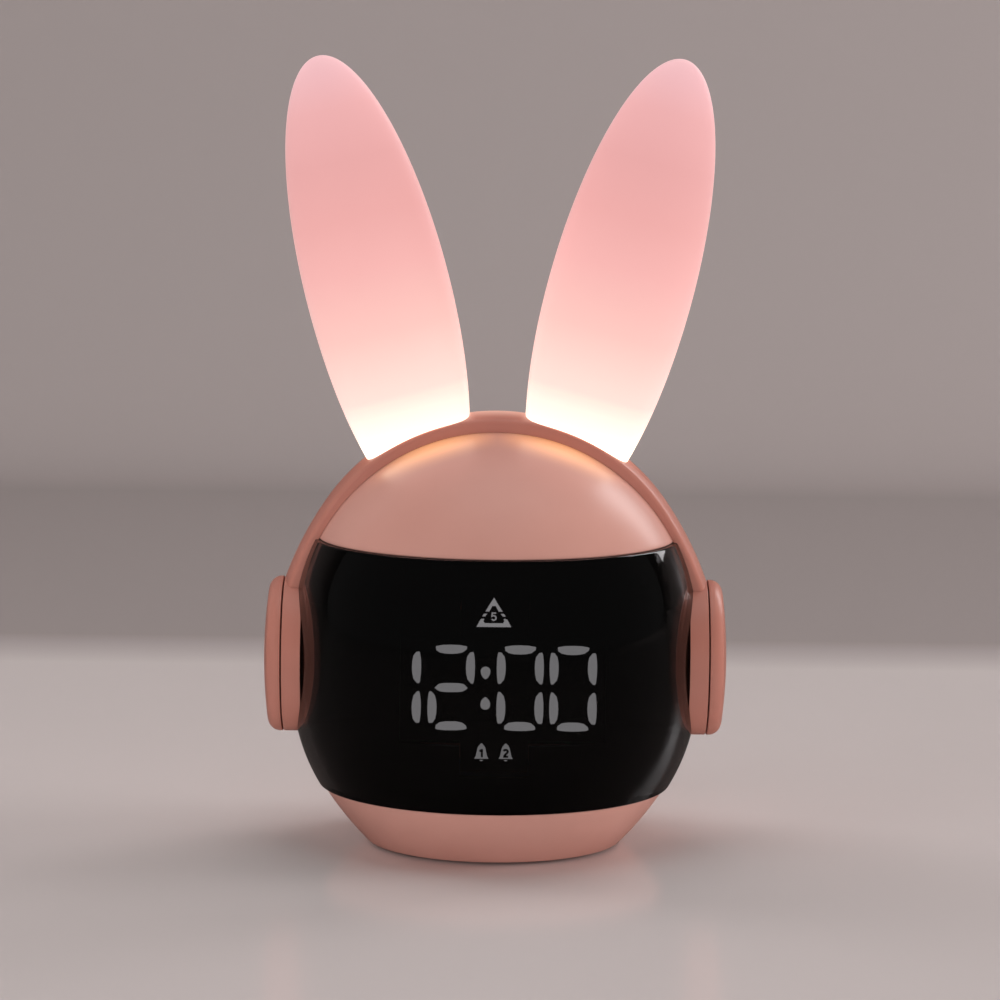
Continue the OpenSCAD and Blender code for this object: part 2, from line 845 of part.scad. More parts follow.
module battery_contacts() {
    color("#c8c9cb") for (s = [-1, 1]) on_side(s)
        translate([holder_half_l - holder_wall - contact_t, 0, cell_z]) {
            translate([0, -contact_w / 2, -contact_w / 2]) cube([contact_t, contact_w, contact_w]);
            rotate([0, -90, 0]) cylinder(r = contact_w / 4, h = contact_spring_l);
        }
}

// ---- Control panel and boards ----

function button_places() = [[-button_dx, row_a_z], [0, row_a_z], [button_dx, row_a_z],
    [-button_dx, row_b_z], [button_dx, row_b_z]];

// Holes of the grille: one in the middle and rings of six, twelve and more round it
module grille_holes() {
    circle(grille_hole_r, $fn = 24);
    for (ring = [1:grille_rings], i = [0:6 * ring - 1])
        rotate(i * 60 / ring) translate([ring * grille_pitch, 0]) circle(grille_hole_r, $fn = 24);
}

module control_panel() {
    color(band_pink) slab(panel_in, panel_out) difference() {
        translate([0, panel_z]) stadium(panel_w, panel_h);
        translate([0, speaker_z]) grille_holes();
        for (p = button_places()) translate(p) circle(button_r + button_gap);
        translate([-slot_w / 2, row_b_z - slot_h / 2]) square([slot_w, slot_h]);
        usb_outline(fit);
    }
}

module rear_button(index) {
    place = button_places()[index];
    color("#f0dcd4") translate([place.x, 0, place.y]) {
        bar_y(button_r, button_in, button_out);
        bar_y(button_flange_r, button_flange_out - button_flange_t, button_flange_out);
    }
}

module power_switch() {
    color("#f0dcd4") {
        translate([knob_x - knob_w / 2, board_y + slide_switch_h + button_gap, row_b_z - knob_h / 2])
            cube([knob_w, button_out - board_y - slide_switch_h - button_gap, knob_h]);
        translate([knob_x - knob_skirt_w / 2, button_flange_out - button_flange_t, row_b_z - knob_skirt_h / 2])
            cube([knob_skirt_w, button_flange_t, knob_skirt_h]);
    }
}

module usb_outline(grow = 0) {
    translate([0, usb_z]) rotate(90) stadium(usb_h + 2 * grow, usb_w + 2 * grow);
}

module usb_socket() {
    color("#b9bbbe") {
        difference() {
            slab(usb_out - usb_len, usb_out) usb_outline();
            slab(usb_out - usb_len + 1, usb_out + 1) usb_outline(-usb_wall);
        }
        translate([-usb_w / 2 + 1, usb_out - usb_len + overlap, usb_z - usb_tongue_t / 2])
            cube([usb_w - 2, usb_len - 1.5, usb_tongue_t]);
        translate([-usb_w / 2, board_y, usb_z - usb_h / 2])
            cube([usb_w, usb_out - usb_len - board_y + overlap, usb_h]);
    }
}

module main_board() {
    color(board_green) difference() {
        translate([-board_half_w, board_y - board_t, board_z0])
            cube([2 * board_half_w, board_t, board_z1 - board_z0]);
        for (p = standoffs) translate([p.x, 0, p.y]) bar_y(1.1, board_y - board_t - 1, board_y + 1);
    }
}

module tact_switches() {
    color("#2c2c30") for (p = button_places()) translate([p.x, 0, p.y]) {
        translate([-tact_w / 2, board_y, -tact_w / 2]) cube([tact_w, tact_h, tact_w]);
        bar_y(tact_plunger_r, board_y + tact_h - overlap, tact_top);
    }
}

module slide_switch() {
    color("#b9bbbe") translate([-4.3, board_y, row_b_z - 2]) cube([8.6, slide_switch_h, 4]);
}

module processor() {
    color("#18181b") translate([-6, board_y - board_t - 1.2, (board_z0 + board_z1) / 2 - 6])
        cube([12, 1.2, 12]);
}

module board_screws() {
    color("#8f9296") for (p = standoffs) translate([p.x, 0, p.y]) {
        bar_y(0.75, board_y - board_t - 0.5, board_y + 4.5);
        bar_y(1.9, board_y - board_t - 1.2, board_y - board_t);
    }
}

module case_screws() {
    color("#8f9296") for (x = [-1, 1], z = case_zs) translate([x * screw_x, 0, z]) {
        bar_y(case_pilot_r - seat_gap, case_split_y - case_pilot_len + 1, case_head_y + 0.5);
        bar_y(case_head_r, case_head_y, case_head_y + case_head_t);
    }
}

front_shell();
rear_shell();
front_lens();
base_plate();
rubber_foot();
headband();
cup_ring(-1);  // left_cup_ring
cup_ring(1);  // right_cup_ring
cup_button(-1);  // left_cup_button
cup_button(1);  // right_cup_button
cup_switch(-1);  // left_cup_switch
cup_switch(1);  // right_cup_switch
ear(-1);  // left_ear
ear(1);  // right_ear
ear_clip(-1);  // left_ear_clip
ear_clip(1);  // right_ear_clip
ear_light(-1);  // left_ear_light
ear_light(1);  // right_ear_light
display_frame();
display_segments();
display_icons();
display_board();
main_board();
tact_switches();
slide_switch();
processor();
usb_socket();
speaker();
speaker_gasket();
battery_cell();
battery_holder();
battery_contacts();
control_panel();
rear_button(0);  // set_button
rear_button(1);  // alarm_button
rear_button(2);  // up_button
rear_button(3);  // down_button
rear_button(4);  // light_button
power_switch();
case_screws();
base_screws();
display_screws();
board_screws();
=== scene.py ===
import math

import bmesh
import bpy
from mathutils import Matrix, Vector


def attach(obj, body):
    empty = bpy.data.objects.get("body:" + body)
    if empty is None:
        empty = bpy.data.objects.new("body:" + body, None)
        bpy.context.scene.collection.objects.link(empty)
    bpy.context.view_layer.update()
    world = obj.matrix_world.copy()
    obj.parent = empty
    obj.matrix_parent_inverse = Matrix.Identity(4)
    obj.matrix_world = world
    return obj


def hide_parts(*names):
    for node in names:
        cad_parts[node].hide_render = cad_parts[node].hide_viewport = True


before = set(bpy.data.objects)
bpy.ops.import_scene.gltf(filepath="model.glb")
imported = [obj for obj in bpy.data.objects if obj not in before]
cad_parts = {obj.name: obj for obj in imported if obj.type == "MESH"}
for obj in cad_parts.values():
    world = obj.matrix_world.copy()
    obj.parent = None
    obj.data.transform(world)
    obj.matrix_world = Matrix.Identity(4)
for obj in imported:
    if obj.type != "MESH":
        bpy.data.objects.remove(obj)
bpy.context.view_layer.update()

mm = 0.001               # sizes below are millimetres, Blender works in metres
contact = 0.05           # clearance between pieces that touch
fit = 0.1                # radial clearance of a plug or stem in its hole


# helpers

def linear(hexText):
    # sRGB hex, such as "d9a597", to linear RGBA
    channels = [int(hexText[i:i + 2], 16) / 255 for i in (0, 2, 4)]
    return [c / 12.92 if c <= 0.04045 else ((c + 0.055) / 1.055) ** 2.4 for c in channels] + [1.0]


def addNode(tree, kind, settings=None, links=None):
    # sockets and plain properties share one settings dictionary
    node = tree.nodes.new(kind)
    for name, value in (settings or {}).items():
        if isinstance(name, str) and hasattr(node, name):
            setattr(node, name, value)
        else:
            node.inputs[name].default_value = value
    for name, source in (links or {}).items():
        tree.links.new(source, node.inputs[name])
    return node


def newMaterial(name, settings):
    material = bpy.data.materials.new(name)
    material.use_nodes = True
    tree = material.node_tree
    shader = tree.nodes["Principled BSDF"]
    for socket, value in settings.items():
        shader.inputs[socket].default_value = value
    coords = addNode(tree, "ShaderNodeTexCoord")
    return material, tree, shader, coords.outputs["Object"]


def noise(tree, vector, sizeMm, detail=2.0, roughness=0.5):
    return addNode(tree, "ShaderNodeTexNoise",
                   {"Scale": 1 / (sizeMm * mm), "Detail": detail, "Roughness": roughness},
                   {"Vector": vector}).outputs["Fac"]


def spread(tree, value, low, high, fromLow=0.3, fromHigh=0.7):
    # maps a pattern onto a range of values
    return addNode(tree, "ShaderNodeMapRange",
                   {"From Min": fromLow, "From Max": fromHigh, "To Min": low, "To Max": high},
                   {"Value": value}).outputs["Result"]


def mixed(tree, factor, first, second):
    node = addNode(tree, "ShaderNodeMixRGB", {"Color1": first, "Color2": second})
    tree.links.new(factor, node.inputs["Fac"])
    return node.outputs["Color"]


def bumped(tree, shader, height, depthMm, strength=1.0):
    bump = addNode(tree, "ShaderNodeBump", {"Strength": strength, "Distance": depthMm * mm},
                   {"Height": height})
    tree.links.new(bump.outputs["Normal"], shader.inputs["Normal"])


def newPiece(name, bm, materials, body, replaces=(), sharp=32):
    mesh = bpy.data.meshes.new(name)
    bm.to_mesh(mesh)
    bm.free()
    for material in materials if isinstance(materials, list) else [materials]:
        mesh.materials.append(material)
    mesh.shade_smooth()
    mesh.set_sharp_from_angle(angle=math.radians(sharp))
    piece = bpy.data.objects.new(name, mesh)
    bpy.context.scene.collection.objects.link(piece)
    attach(piece, body)
    if replaces:
        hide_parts(*replaces)
    return piece


def looseObject(bm):
    mesh = bpy.data.meshes.new("loose")
    bm.to_mesh(mesh)
    bm.free()
    loose = bpy.data.objects.new("loose", mesh)
    bpy.context.scene.collection.objects.link(loose)
    return loose


def carved(bm, cutters, operation="DIFFERENCE"):
    # bmesh has no boolean operator, so modifiers on throwaway objects do it
    target = looseObject(bm)
    tools = [looseObject(cutter) for cutter in cutters]
    for tool in tools:
        cut = target.modifiers.new("cut", "BOOLEAN")
        cut.operation = operation
        cut.solver = "EXACT"
        cut.object = tool
    bpy.context.view_layer.update()
    result = bmesh.new()
    result.from_object(target, bpy.context.evaluated_depsgraph_get())
    for loose in [target] + tools:
        mesh = loose.data
        bpy.data.objects.remove(loose)
        bpy.data.meshes.remove(mesh)
    bmesh.ops.remove_doubles(result, verts=result.verts, dist=0.001 * mm)
    return result


def rounded(points, segments=5):
    # a path of (across, up) points, where a third number asks for a round corner of that radius
    path = []
    for i, point in enumerate(points):
        here = Vector(point[:2])
        radius = point[2] if len(point) > 2 else 0
        if not radius:
            path.append(here)
            continue
        before = (Vector(points[i - 1][:2]) - here).normalized()
        after = (Vector(points[(i + 1) % len(points)][:2]) - here).normalized()
        half = before.angle(after) / 2
        middle = here + (before + after).normalized() * (radius / math.sin(half))
        start = here + before * (radius / math.tan(half)) - middle
        end = here + after * (radius / math.tan(half)) - middle
        turn = start.angle_signed(end)
        for step in range(segments + 1):
            path.append(middle + Matrix.Rotation(-turn * step / segments, 2) @ start)
    return path


def spun(path, angle=2 * math.pi, steps=160, closed=True):
    # turns a half section, (radius, height), about the upright axis
    bm = bmesh.new()
    corners = [bm.verts.new((x * mm, 0, z * mm)) for x, z in path]
    for a, b in zip(corners, corners[1:]):
        bm.edges.new((a, b))
    if closed:
        bm.edges.new((corners[-1], corners[0]))
    full = abs(angle) > 6.28
    bmesh.ops.spin(bm, geom=bm.verts[:] + bm.edges[:], cent=(0, 0, 0), axis=(0, 0, 1),
                   angle=angle, steps=steps, use_merge=full)
    bmesh.ops.remove_doubles(bm, verts=bm.verts, dist=0.0005 * mm)
    bmesh.ops.holes_fill(bm, edges=[e for e in bm.edges if e.is_boundary], sides=0)
    bmesh.ops.recalc_face_normals(bm, faces=bm.faces)
    return bm


def shifted(outline, x, z):
    return [(px + x, pz + z) for px, pz in outline]


def mirrored(outline):
    return [(-px, pz) for px, pz in reversed(outline)]


def turned(bm, matrix):
    bmesh.ops.transform(bm, matrix=matrix, verts=bm.verts)
    if matrix.determinant() < 0:
        bmesh.ops.reverse_faces(bm, faces=bm.faces)
    return bm


def sideways(side):
    # from the upright axis to the cup axis, pointing away from the body
    place = Matrix.Translation((0, 0, cups["z"] * mm))
    return place @ Matrix.Rotation(side * math.pi / 2, 4, "Y")


def rod(radius, start, end, matrix, segments=64):
    # closed cylinder along the local Z of a matrix
    bm = bmesh.new()
    bmesh.ops.create_cone(bm, cap_ends=True, segments=segments, radius1=radius * mm,
                          radius2=radius * mm, depth=(end - start) * mm)
    return turned(bm, matrix @ Matrix.Translation((0, 0, (start + end) / 2 * mm)))


def plate(outline, y0, y1):
    # upright outline of (x, z) points, made into a slab between two distances along Y
    bm = bmesh.new()
    face = bm.faces.new([bm.verts.new((x * mm, y0 * mm, z * mm)) for x, z in outline])
    grown = bmesh.ops.extrude_face_region(bm, geom=[face])
    moved = [v for v in grown["geom"] if isinstance(v, bmesh.types.BMVert)]
    bmesh.ops.translate(bm, vec=(0, (y1 - y0) * mm, 0), verts=moved)
    bmesh.ops.recalc_face_normals(bm, faces=bm.faces)
    return bm


def joined(parts):
    # several bmeshes as one
    whole = bmesh.new()
    for part in parts:
        mesh = bpy.data.meshes.new("part")
        part.to_mesh(mesh)
        part.free()
        whole.from_mesh(mesh)
        bpy.data.meshes.remove(mesh)
    return whole


def softened(node, width, segments=2, angle=34):
    # copy of a CAD node with its loose triangles merged and its sharp edges rounded
    bm = bmesh.new()
    bm.from_mesh(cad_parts[node].data)
    bmesh.ops.remove_doubles(bm, verts=bm.verts, dist=0.002 * mm)
    bmesh.ops.dissolve_limit(bm, angle_limit=math.radians(0.5), verts=bm.verts, edges=bm.edges)
    sharpest = math.radians(angle)
    edges = [e for e in bm.edges if len(e.link_faces) == 2 and e.calc_face_angle() > sharpest]
    bmesh.ops.bevel(bm, geom=edges, offset=width * mm, segments=segments, profile=0.5,
                    affect="EDGES", clamp_overlap=True, material=-1)
    return bm


# materials

def mouldedAbs(name, base, dark, roughness, grain=0.45, settings=None):
    # ABS from a spark-eroded mould: satin, with a fine even grain that softens each highlight
    material, tree, shader, place = newMaterial(name, {"IOR": 1.53, **(settings or {})})
    clouds = noise(tree, place, 26, 3)
    grains = noise(tree, place, grain, 3, 0.6)
    colour = mixed(tree, spread(tree, clouds, 0, 1), linear(dark), linear(base))
    tree.links.new(colour, shader.inputs["Base Color"])
    gloss = spread(tree, grains, roughness - 0.03, roughness + 0.05)
    tree.links.new(gloss, shader.inputs["Roughness"])
    bumped(tree, shader, grains, 0.012, 0.5)
    return material


def paintedLampGlow(material, paintedGlow):
    # painted glow: emission on the pink plastic that stands in for light from the ears leaking past
    # their plugs and through the plastic round them
    tree = material.node_tree
    place = tree.nodes["Texture Coordinate"].outputs["Object"]
    sides = addNode(tree, "ShaderNodeVectorMath", {"operation": "ABSOLUTE"}, {"Vector": place})
    spot = addNode(tree, "ShaderNodeMapping", {"vector_type": "TEXTURE"},
                   {"Vector": sides.outputs["Vector"]})
    spot.inputs["Location"].default_value = [c * mm for c in paintedGlow["at"]]
    spot.inputs["Rotation"].default_value = (0, math.radians(paintedGlow["slope"]), 0)
    spot.inputs["Scale"].default_value = [c * mm for c in paintedGlow["reach"]]
    away = addNode(tree, "ShaderNodeVectorMath", {"operation": "LENGTH"}, {0: spot.outputs["Vector"]})
    level = addNode(tree, "ShaderNodeMapRange",
                    {"interpolation_type": "SMOOTHERSTEP", "From Min": 0.0, "From Max": 1.0,
                     "To Min": 1.0, "To Max": 0.0}, {"Value": away.outputs["Value"]})
    shader = tree.nodes["Principled BSDF"]
    tree.links.new(mixed(tree, level.outputs["Result"], (0, 0, 0, 1), linear(paintedGlow["colour"])),
                   shader.inputs["Emission Color"])
    shader.inputs["Emission Strength"].default_value = paintedGlow["strength"]


def smokedPmma():
    # PMMA, polished and smoked: deep gloss, and just clear enough for the lit display behind it
    material, tree, shader, place = newMaterial(
        "smoked PMMA", {"IOR": 1.49, "Transmission Weight": 1.0, "Base Color": linear("898789"),
                        "Specular IOR Level": 0.14})
    wipe = noise(tree, place, 9, 4, 0.6)
    tree.links.new(spread(tree, wipe, 0.035, 0.065), shader.inputs["Roughness"])
    bumped(tree, shader, noise(tree, place, 30, 1), 0.01, 0.4)
    return material


def litSilicone():
    # translucent silicone lit from its foot: cream glow low down, pink where the light thins out
    material, tree, shader, place = newMaterial(
        "silicone", {"IOR": 1.41, "Emission Strength": 1.0, "Sheen Weight": 0.25})
    split = addNode(tree, "ShaderNodeSeparateXYZ", links={"Vector": place})
    outward = addNode(tree, "ShaderNodeMath", {"operation": "ABSOLUTE"}, {0: split.outputs["X"]})
    lean = math.radians(ears["tilt"])
    across = addNode(tree, "ShaderNodeMath", {"operation": "MULTIPLY", 1: math.sin(lean)},
                     {0: outward.outputs[0]})
    along = addNode(tree, "ShaderNodeMath", {"operation": "MULTIPLY_ADD", 1: math.cos(lean)},
                    {0: split.outputs["Z"], 2: across.outputs[0]})
    height = spread(tree, along.outputs[0], 0, 1, ears["glowFrom"] * mm, ears["glowTo"] * mm)
    glow = addNode(tree, "ShaderNodeValToRGB", links={"Fac": height})
    # the base colour too is paler and brighter towards the foot: painted light that follows the glow
    body = addNode(tree, "ShaderNodeValToRGB", links={"Fac": height})
    for ramp, stops in ((glow.color_ramp, ears["glow"]), (body.color_ramp, ears["paintedGlowSkin"])):
        while len(ramp.elements) < len(stops):
            ramp.elements.new(0.5)
        for element, (at, colour, level) in zip(ramp.elements, stops):
            element.position = at
            element.color = [c * level for c in linear(colour)[:3]] + [1.0]
    tree.links.new(glow.outputs["Color"], shader.inputs["Emission Color"])
    tree.links.new(body.outputs["Color"], shader.inputs["Base Color"])
    grains = noise(tree, place, 0.6, 3, 0.6)
    tree.links.new(spread(tree, grains, 0.42, 0.55), shader.inputs["Roughness"])
    bumped(tree, shader, grains, 0.01, 0.4)
    return material


def litResin(colour, strength):
    # display resin lit by the chip under it: an even glow with a slightly uneven fill
    material, tree, shader, place = newMaterial(
        "lit epoxy " + colour, {"Base Color": linear("202022"), "Roughness": 0.5,
                                "Emission Strength": strength})
    brighter = [c * 1.05 for c in linear(colour)[:3]] + [1.0]
    fill = mixed(tree, spread(tree, noise(tree, place, 1.5), 0, 1), linear(colour), brighter)
    tree.links.new(fill, shader.inputs["Emission Color"])
    return material


def plated(name, colour, roughness):
    # zinc or nickel plate on rolled sheet: fine scratches in one direction
    material, tree, shader, place = newMaterial(name, {"Metallic": 1.0})
    stretch = addNode(tree, "ShaderNodeMapping", {"Scale": (1, 12, 12)}, {"Vector": place})
    scratch = noise(tree, stretch.outputs["Vector"], 0.8, 4, 0.7)
    tint = mixed(tree, spread(tree, scratch, 0, 1), linear(colour), linear("d8dadc"))
    tree.links.new(tint, shader.inputs["Base Color"])
    tree.links.new(spread(tree, scratch, roughness, roughness + 0.15), shader.inputs["Roughness"])
    bumped(tree, shader, scratch, 0.004, 0.4)
    return material


def mattRubber(name, colour, dark, size=0.5):
    # moulded rubber: matt, slightly dusty, with a soft skin
    material, tree, shader, place = newMaterial(name, {"IOR": 1.5, "Sheen Weight": 0.1})
    dust = noise(tree, place, size, 4, 0.6)
    tree.links.new(mixed(tree, spread(tree, dust, 0, 1), linear(dark), linear(colour)),
                   shader.inputs["Base Color"])
    tree.links.new(spread(tree, dust, 0.62, 0.8), shader.inputs["Roughness"])
    bumped(tree, shader, dust, 0.02, 0.5)
    return material


def solderMask():
    # glass-epoxy board under green solder mask: copper tracks show as paler lines
    material, tree, shader, place = newMaterial("FR4", {"IOR": 1.55, "Coat Weight": 0.4})
    cells = addNode(tree, "ShaderNodeTexVoronoi",
                    {"feature": "DISTANCE_TO_EDGE", "Scale": 1 / (3.2 * mm)}, {"Vector": place})
    tracks = spread(tree, cells.outputs["Distance"], 1, 0, 0.04, 0.06)
    green = mixed(tree, tracks, linear("17472b"), linear("2f7a48"))
    tree.links.new(green, shader.inputs["Base Color"])
    tree.links.new(spread(tree, tracks, 0.38, 0.28, 0, 1), shader.inputs["Roughness"])
    bumped(tree, shader, tracks, 0.03, 0.5)
    return material


# values of each piece, and the body's curve, which the shells, lens and band share

# painted glows of ear light: one on the crown beside the band, one along the band's crest
crownPaintedGlow = {"at": (15.0, 12.0, 98.3), "reach": (22.0, 11.0, 12.0), "slope": 24,
             "colour": "ffb252", "strength": 0.48}
bandPaintedGlow = {"at": (0.0, 0.0, 108.5), "reach": (26.0, 8.6, 7.0), "slope": 0,
            "colour": "ffe0ce", "strength": 0.34}
body = {"radius": 50.2, "bellyZ": 46.0, "bellyArc": 110.0, "shoulderZ": 60.8, "hipZ": 34.0,
        "hipArc": 46.0, "baseArc": 80.0, "footGap": 0.6, "wall": 2.4,
        "plateRadius": 28.1, "plateThickness": 1.4, "floor": 2.2, "floorHole": 21.0, "backY": 44.0,
        "backWall": 2.6, "rimReach": 1.8, "rimSlope": 28.8, "rimMerge": 0.4, "crownLip": 0.35,
        "baseLip": 0.3, "footRound": 0.7, "steps": 120}
lens = {"low": 14.6, "high": 76.2, "thickness": 2.0, "proud": 0.7, "round": 0.7, "edgeRound": 0.5,
        "backing": 1.9, "notch": 14.5, "notchFrom": 30, "notchTo": 60}
cups = {"z": 46.6, "radius": 19.3, "x": 47.8, "ring": 4.6, "gap": 0.35, "cap": 4.7, "round": 3.0,
        "stem": 6.0, "spigot": 6.9, "crown": 1.1, "edge": 0.2, "face": 1.8, "spigotIn": 40.9,
        "holeFrom": 38, "holeTo": 56, "stemIn": 1.8, "stemRound": 0.4, "roof": 1.0, "boss": 2.0,
        "bossHeight": 0.3, "sawFrom": 36, "sawTo": 70}
band = {"width": 16.0, "top": 107.771, "crownRadius": 51.251, "sideRadius": 84.951,
        "joinAngle": 35.0, "lowAngle": -12.0, "sectionRadius": 20.0, "edgeRound": 0.9}
ears = {"length": 118.0, "width": 35.6, "thickness": 19.0, "z": 137.703, "x": 29.87, "tilt": 15.0,
        "wall": 2.0, "plug": 5.5, "plugWall": 1.0, "plugEnd": 47.0, "floor": 2.4, "cross": 35.5,
        "plugInto": 2.0, "boreInto": 5.0, "holeFrom": -60, "holeTo": -30, "cutReach": 20,
        "footFrom": 0.35, "footRun": 0.95, "footPower": 5.0, "footDeep": 0.06,
        "glowFrom": 101.0, "glowTo": 200.0,
        "glow": [(0.0, "ffefd7", 2.2), (0.05, "ffecdb", 1.02), (0.14, "ffdcd3", 0.68),
                 (0.28, "fed0c7", 0.62), (0.46, "febab8", 0.54), (0.59, "fcb2b1", 0.47),
                 (0.73, "fcb4b5", 0.43), (0.86, "febec1", 0.46), (0.95, "fccbd3", 0.5),
                 (1.0, "ffd3db", 0.52)],
        "paintedGlowSkin": [(0.0, "f4d6c8", 0.8), (0.3, "eeb4ad", 0.64), (1.0, "ecacaa", 0.62)]}


def bodyArcs():
    # (centre across, centre up, radius, first angle, last angle) from the crown down
    up = math.asin((body["shoulderZ"] - body["bellyZ"]) / body["bellyArc"])
    down = math.asin((body["hipZ"] - body["bellyZ"]) / body["bellyArc"])
    reach = body["bellyArc"] - body["radius"]
    hipX = (body["bellyArc"] - body["hipArc"]) * math.cos(down) - reach
    hipZ = body["bellyZ"] + (body["bellyArc"] - body["hipArc"]) * math.sin(down)
    low = math.asin((lens["low"] - hipZ) / body["hipArc"])
    baseX = hipX - (body["baseArc"] - body["hipArc"]) * math.cos(low)
    baseZ = hipZ - (body["baseArc"] - body["hipArc"]) * math.sin(low)
    foot = math.asin((body["footGap"] - baseZ) / body["baseArc"])
    return [(0.0, body["bellyZ"] + reach * math.tan(up), body["bellyArc"] - reach / math.cos(up),
             math.pi / 2, up),
            (-reach, body["bellyZ"], body["bellyArc"], up, down),
            (hipX, hipZ, body["hipArc"], down, low),
            (baseX, baseZ, body["baseArc"], low, foot)]


def bodyPath(inset, high, low, stepMm=1.6):
    # points of the body's surface moved inwards by inset, from one height down to another
    path = []
    for x, z, radius, first, last in bodyArcs():
        r = radius - inset
        top = min(first, math.asin(min(1, (high - z) / r)))
        bottom = max(last, math.asin((low - z) / r)) if low > z - r else last
        if top <= bottom:
            continue
        count = max(2, round((top - bottom) * radius / stepMm))
        for i in range(count + 1):
            a = top + (bottom - top) * i / count
            point = (r * math.cos(a) + x, r * math.sin(a) + z)
            if not path or math.dist(point, path[-1]) > 0.01:
                path.append(point)
    return path


crownTop = bodyArcs()[0][1] + bodyArcs()[0][2]


def bodySolid(inset, angle=2 * math.pi, high=200.0, low=body["footGap"]):
    # closed solid of the body, for cutting
    path = bodyPath(inset, high, low)
    if high < crownTop:
        path = [(0, high)] + path
    path[0] = (0, path[0][1])
    return spun(path + [(0, low)], angle, closed=False)


def bandOutline(grow=0.0):
    # the arch and all below it: one crown arc between two side arcs
    join = math.radians(band["joinAngle"])
    crownZ = band["top"] - band["crownRadius"]
    sideX = (band["crownRadius"] - band["sideRadius"]) * math.cos(join)
    sideZ = crownZ + (band["crownRadius"] - band["sideRadius"]) * math.sin(join)
    side, crown = band["sideRadius"] + grow, band["crownRadius"] + grow
    low = math.radians(band["lowAngle"])
    right, over, steps = [], [], 30
    for i in range(steps):
        a = low + (join - low) * i / steps
        right.append((sideX + side * math.cos(a), sideZ + side * math.sin(a)))
    for i in range(2 * steps + 1):
        a = join + (math.pi - 2 * join) * i / (2 * steps)
        over.append((crown * math.cos(a), crownZ + crown * math.sin(a)))
    return right + over + mirrored(right)


def bandSolid(grow=0.0, reach=None):
    # the arch as a solid, crowned across its width; with a reach it runs on flat past its edges
    half, edge = band["width"] / 2, band["edgeRound"]

    def sag(y):
        return y * y / (2 * band["sectionRadius"])

    stations = []
    for i in range(-8, 9):
        y = i / 8 * (half if reach else half - edge)
        stations.append((y, sag(y)))
    if reach:
        stations = [(-reach, sag(half))] + stations + [(reach, sag(half))]
    else:
        turn = []
        for i in range(1, 6):
            a = math.pi / 2 * i / 5
            y = half - edge + edge * math.sin(a)
            turn.append((y, sag(y) + edge * (1 - math.cos(a))))
        stations = mirrored(turn) + stations + turn
    bm = bmesh.new()
    loops = []
    for y, drop in stations:
        corners = [bm.verts.new((x * mm, y * mm, z * mm)) for x, z in bandOutline(grow - drop)]
        loops.append([bm.edges.new((a, b)) for a, b in zip(corners, corners[1:] + corners[:1])])
    for first, second in zip(loops, loops[1:]):
        bmesh.ops.bridge_loops(bm, edges=first + second)
    bmesh.ops.holes_fill(bm, edges=loops[0] + loops[-1], sides=0)
    bmesh.ops.recalc_face_normals(bm, faces=bm.faces)
    return bm


def earMatrix(side):
    return Matrix.Translation((side * ears["x"] * mm, 0, ears["z"] * mm)) \
        @ Matrix.Rotation(math.radians(side * ears["tilt"]), 4, "Y")


def plugHoles():
    return [rod(ears["plug"] + fit, ears["holeFrom"], ears["holeTo"], earMatrix(side))
            for side in (-1, 1)]


def cupHoles():
    return [rod(cups["spigot"] + fit, cups["holeFrom"], cups["holeTo"], sideways(side))
            for side in (-1, 1)]


# finishes

shellAbs = mouldedAbs("ABS shell pink", "d59c8f", "cf9689", 0.31)
shadedPinkAbs = mouldedAbs("ABS pink darkened as painted shade", "c17e6f", "bb7869", 0.34)       # the shell pink made a shade deeper as painted shade, for the band's darker front face; the cups and back panel share it
paintedLampGlow(shellAbs, crownPaintedGlow)
paintedLampGlow(shadedPinkAbs, bandPaintedGlow)
keySilicone = mattRubber("silicone keys", "f1dcd4", "e6cdc4")
blackInk = mouldedAbs("black ink", "060607", "040405", 0.6, settings={"Specular IOR Level": 0.05})
blackAbs = mouldedAbs("ABS black", "1b1b1e", "121214", 0.45)
lensPmma = smokedPmma()
earSilicone = litSilicone()
digitResin = litResin("cacaca", 1.0)
signResin = litResin("ececec", 0.95)
bellResin = litResin("bcbcbc", 1.0)                                   # the bells are lit less
footRubber = mattRubber("rubber feet", "d6d0ca", "c4bdb6")
foam = mattRubber("foam", "2a2a2d", "161618", 0.8)
nickel = plated("nickel plate", "b9bbbe", 0.22)
zinc = plated("zinc plate", "8e9194", 0.3)
boardGreen = solderMask()
sleevePvc = mouldedAbs("PVC sleeve", "3f6fae", "3563a0", 0.25)        # shrunk on, so a little shinier
print("materials ready")


# shells and lens

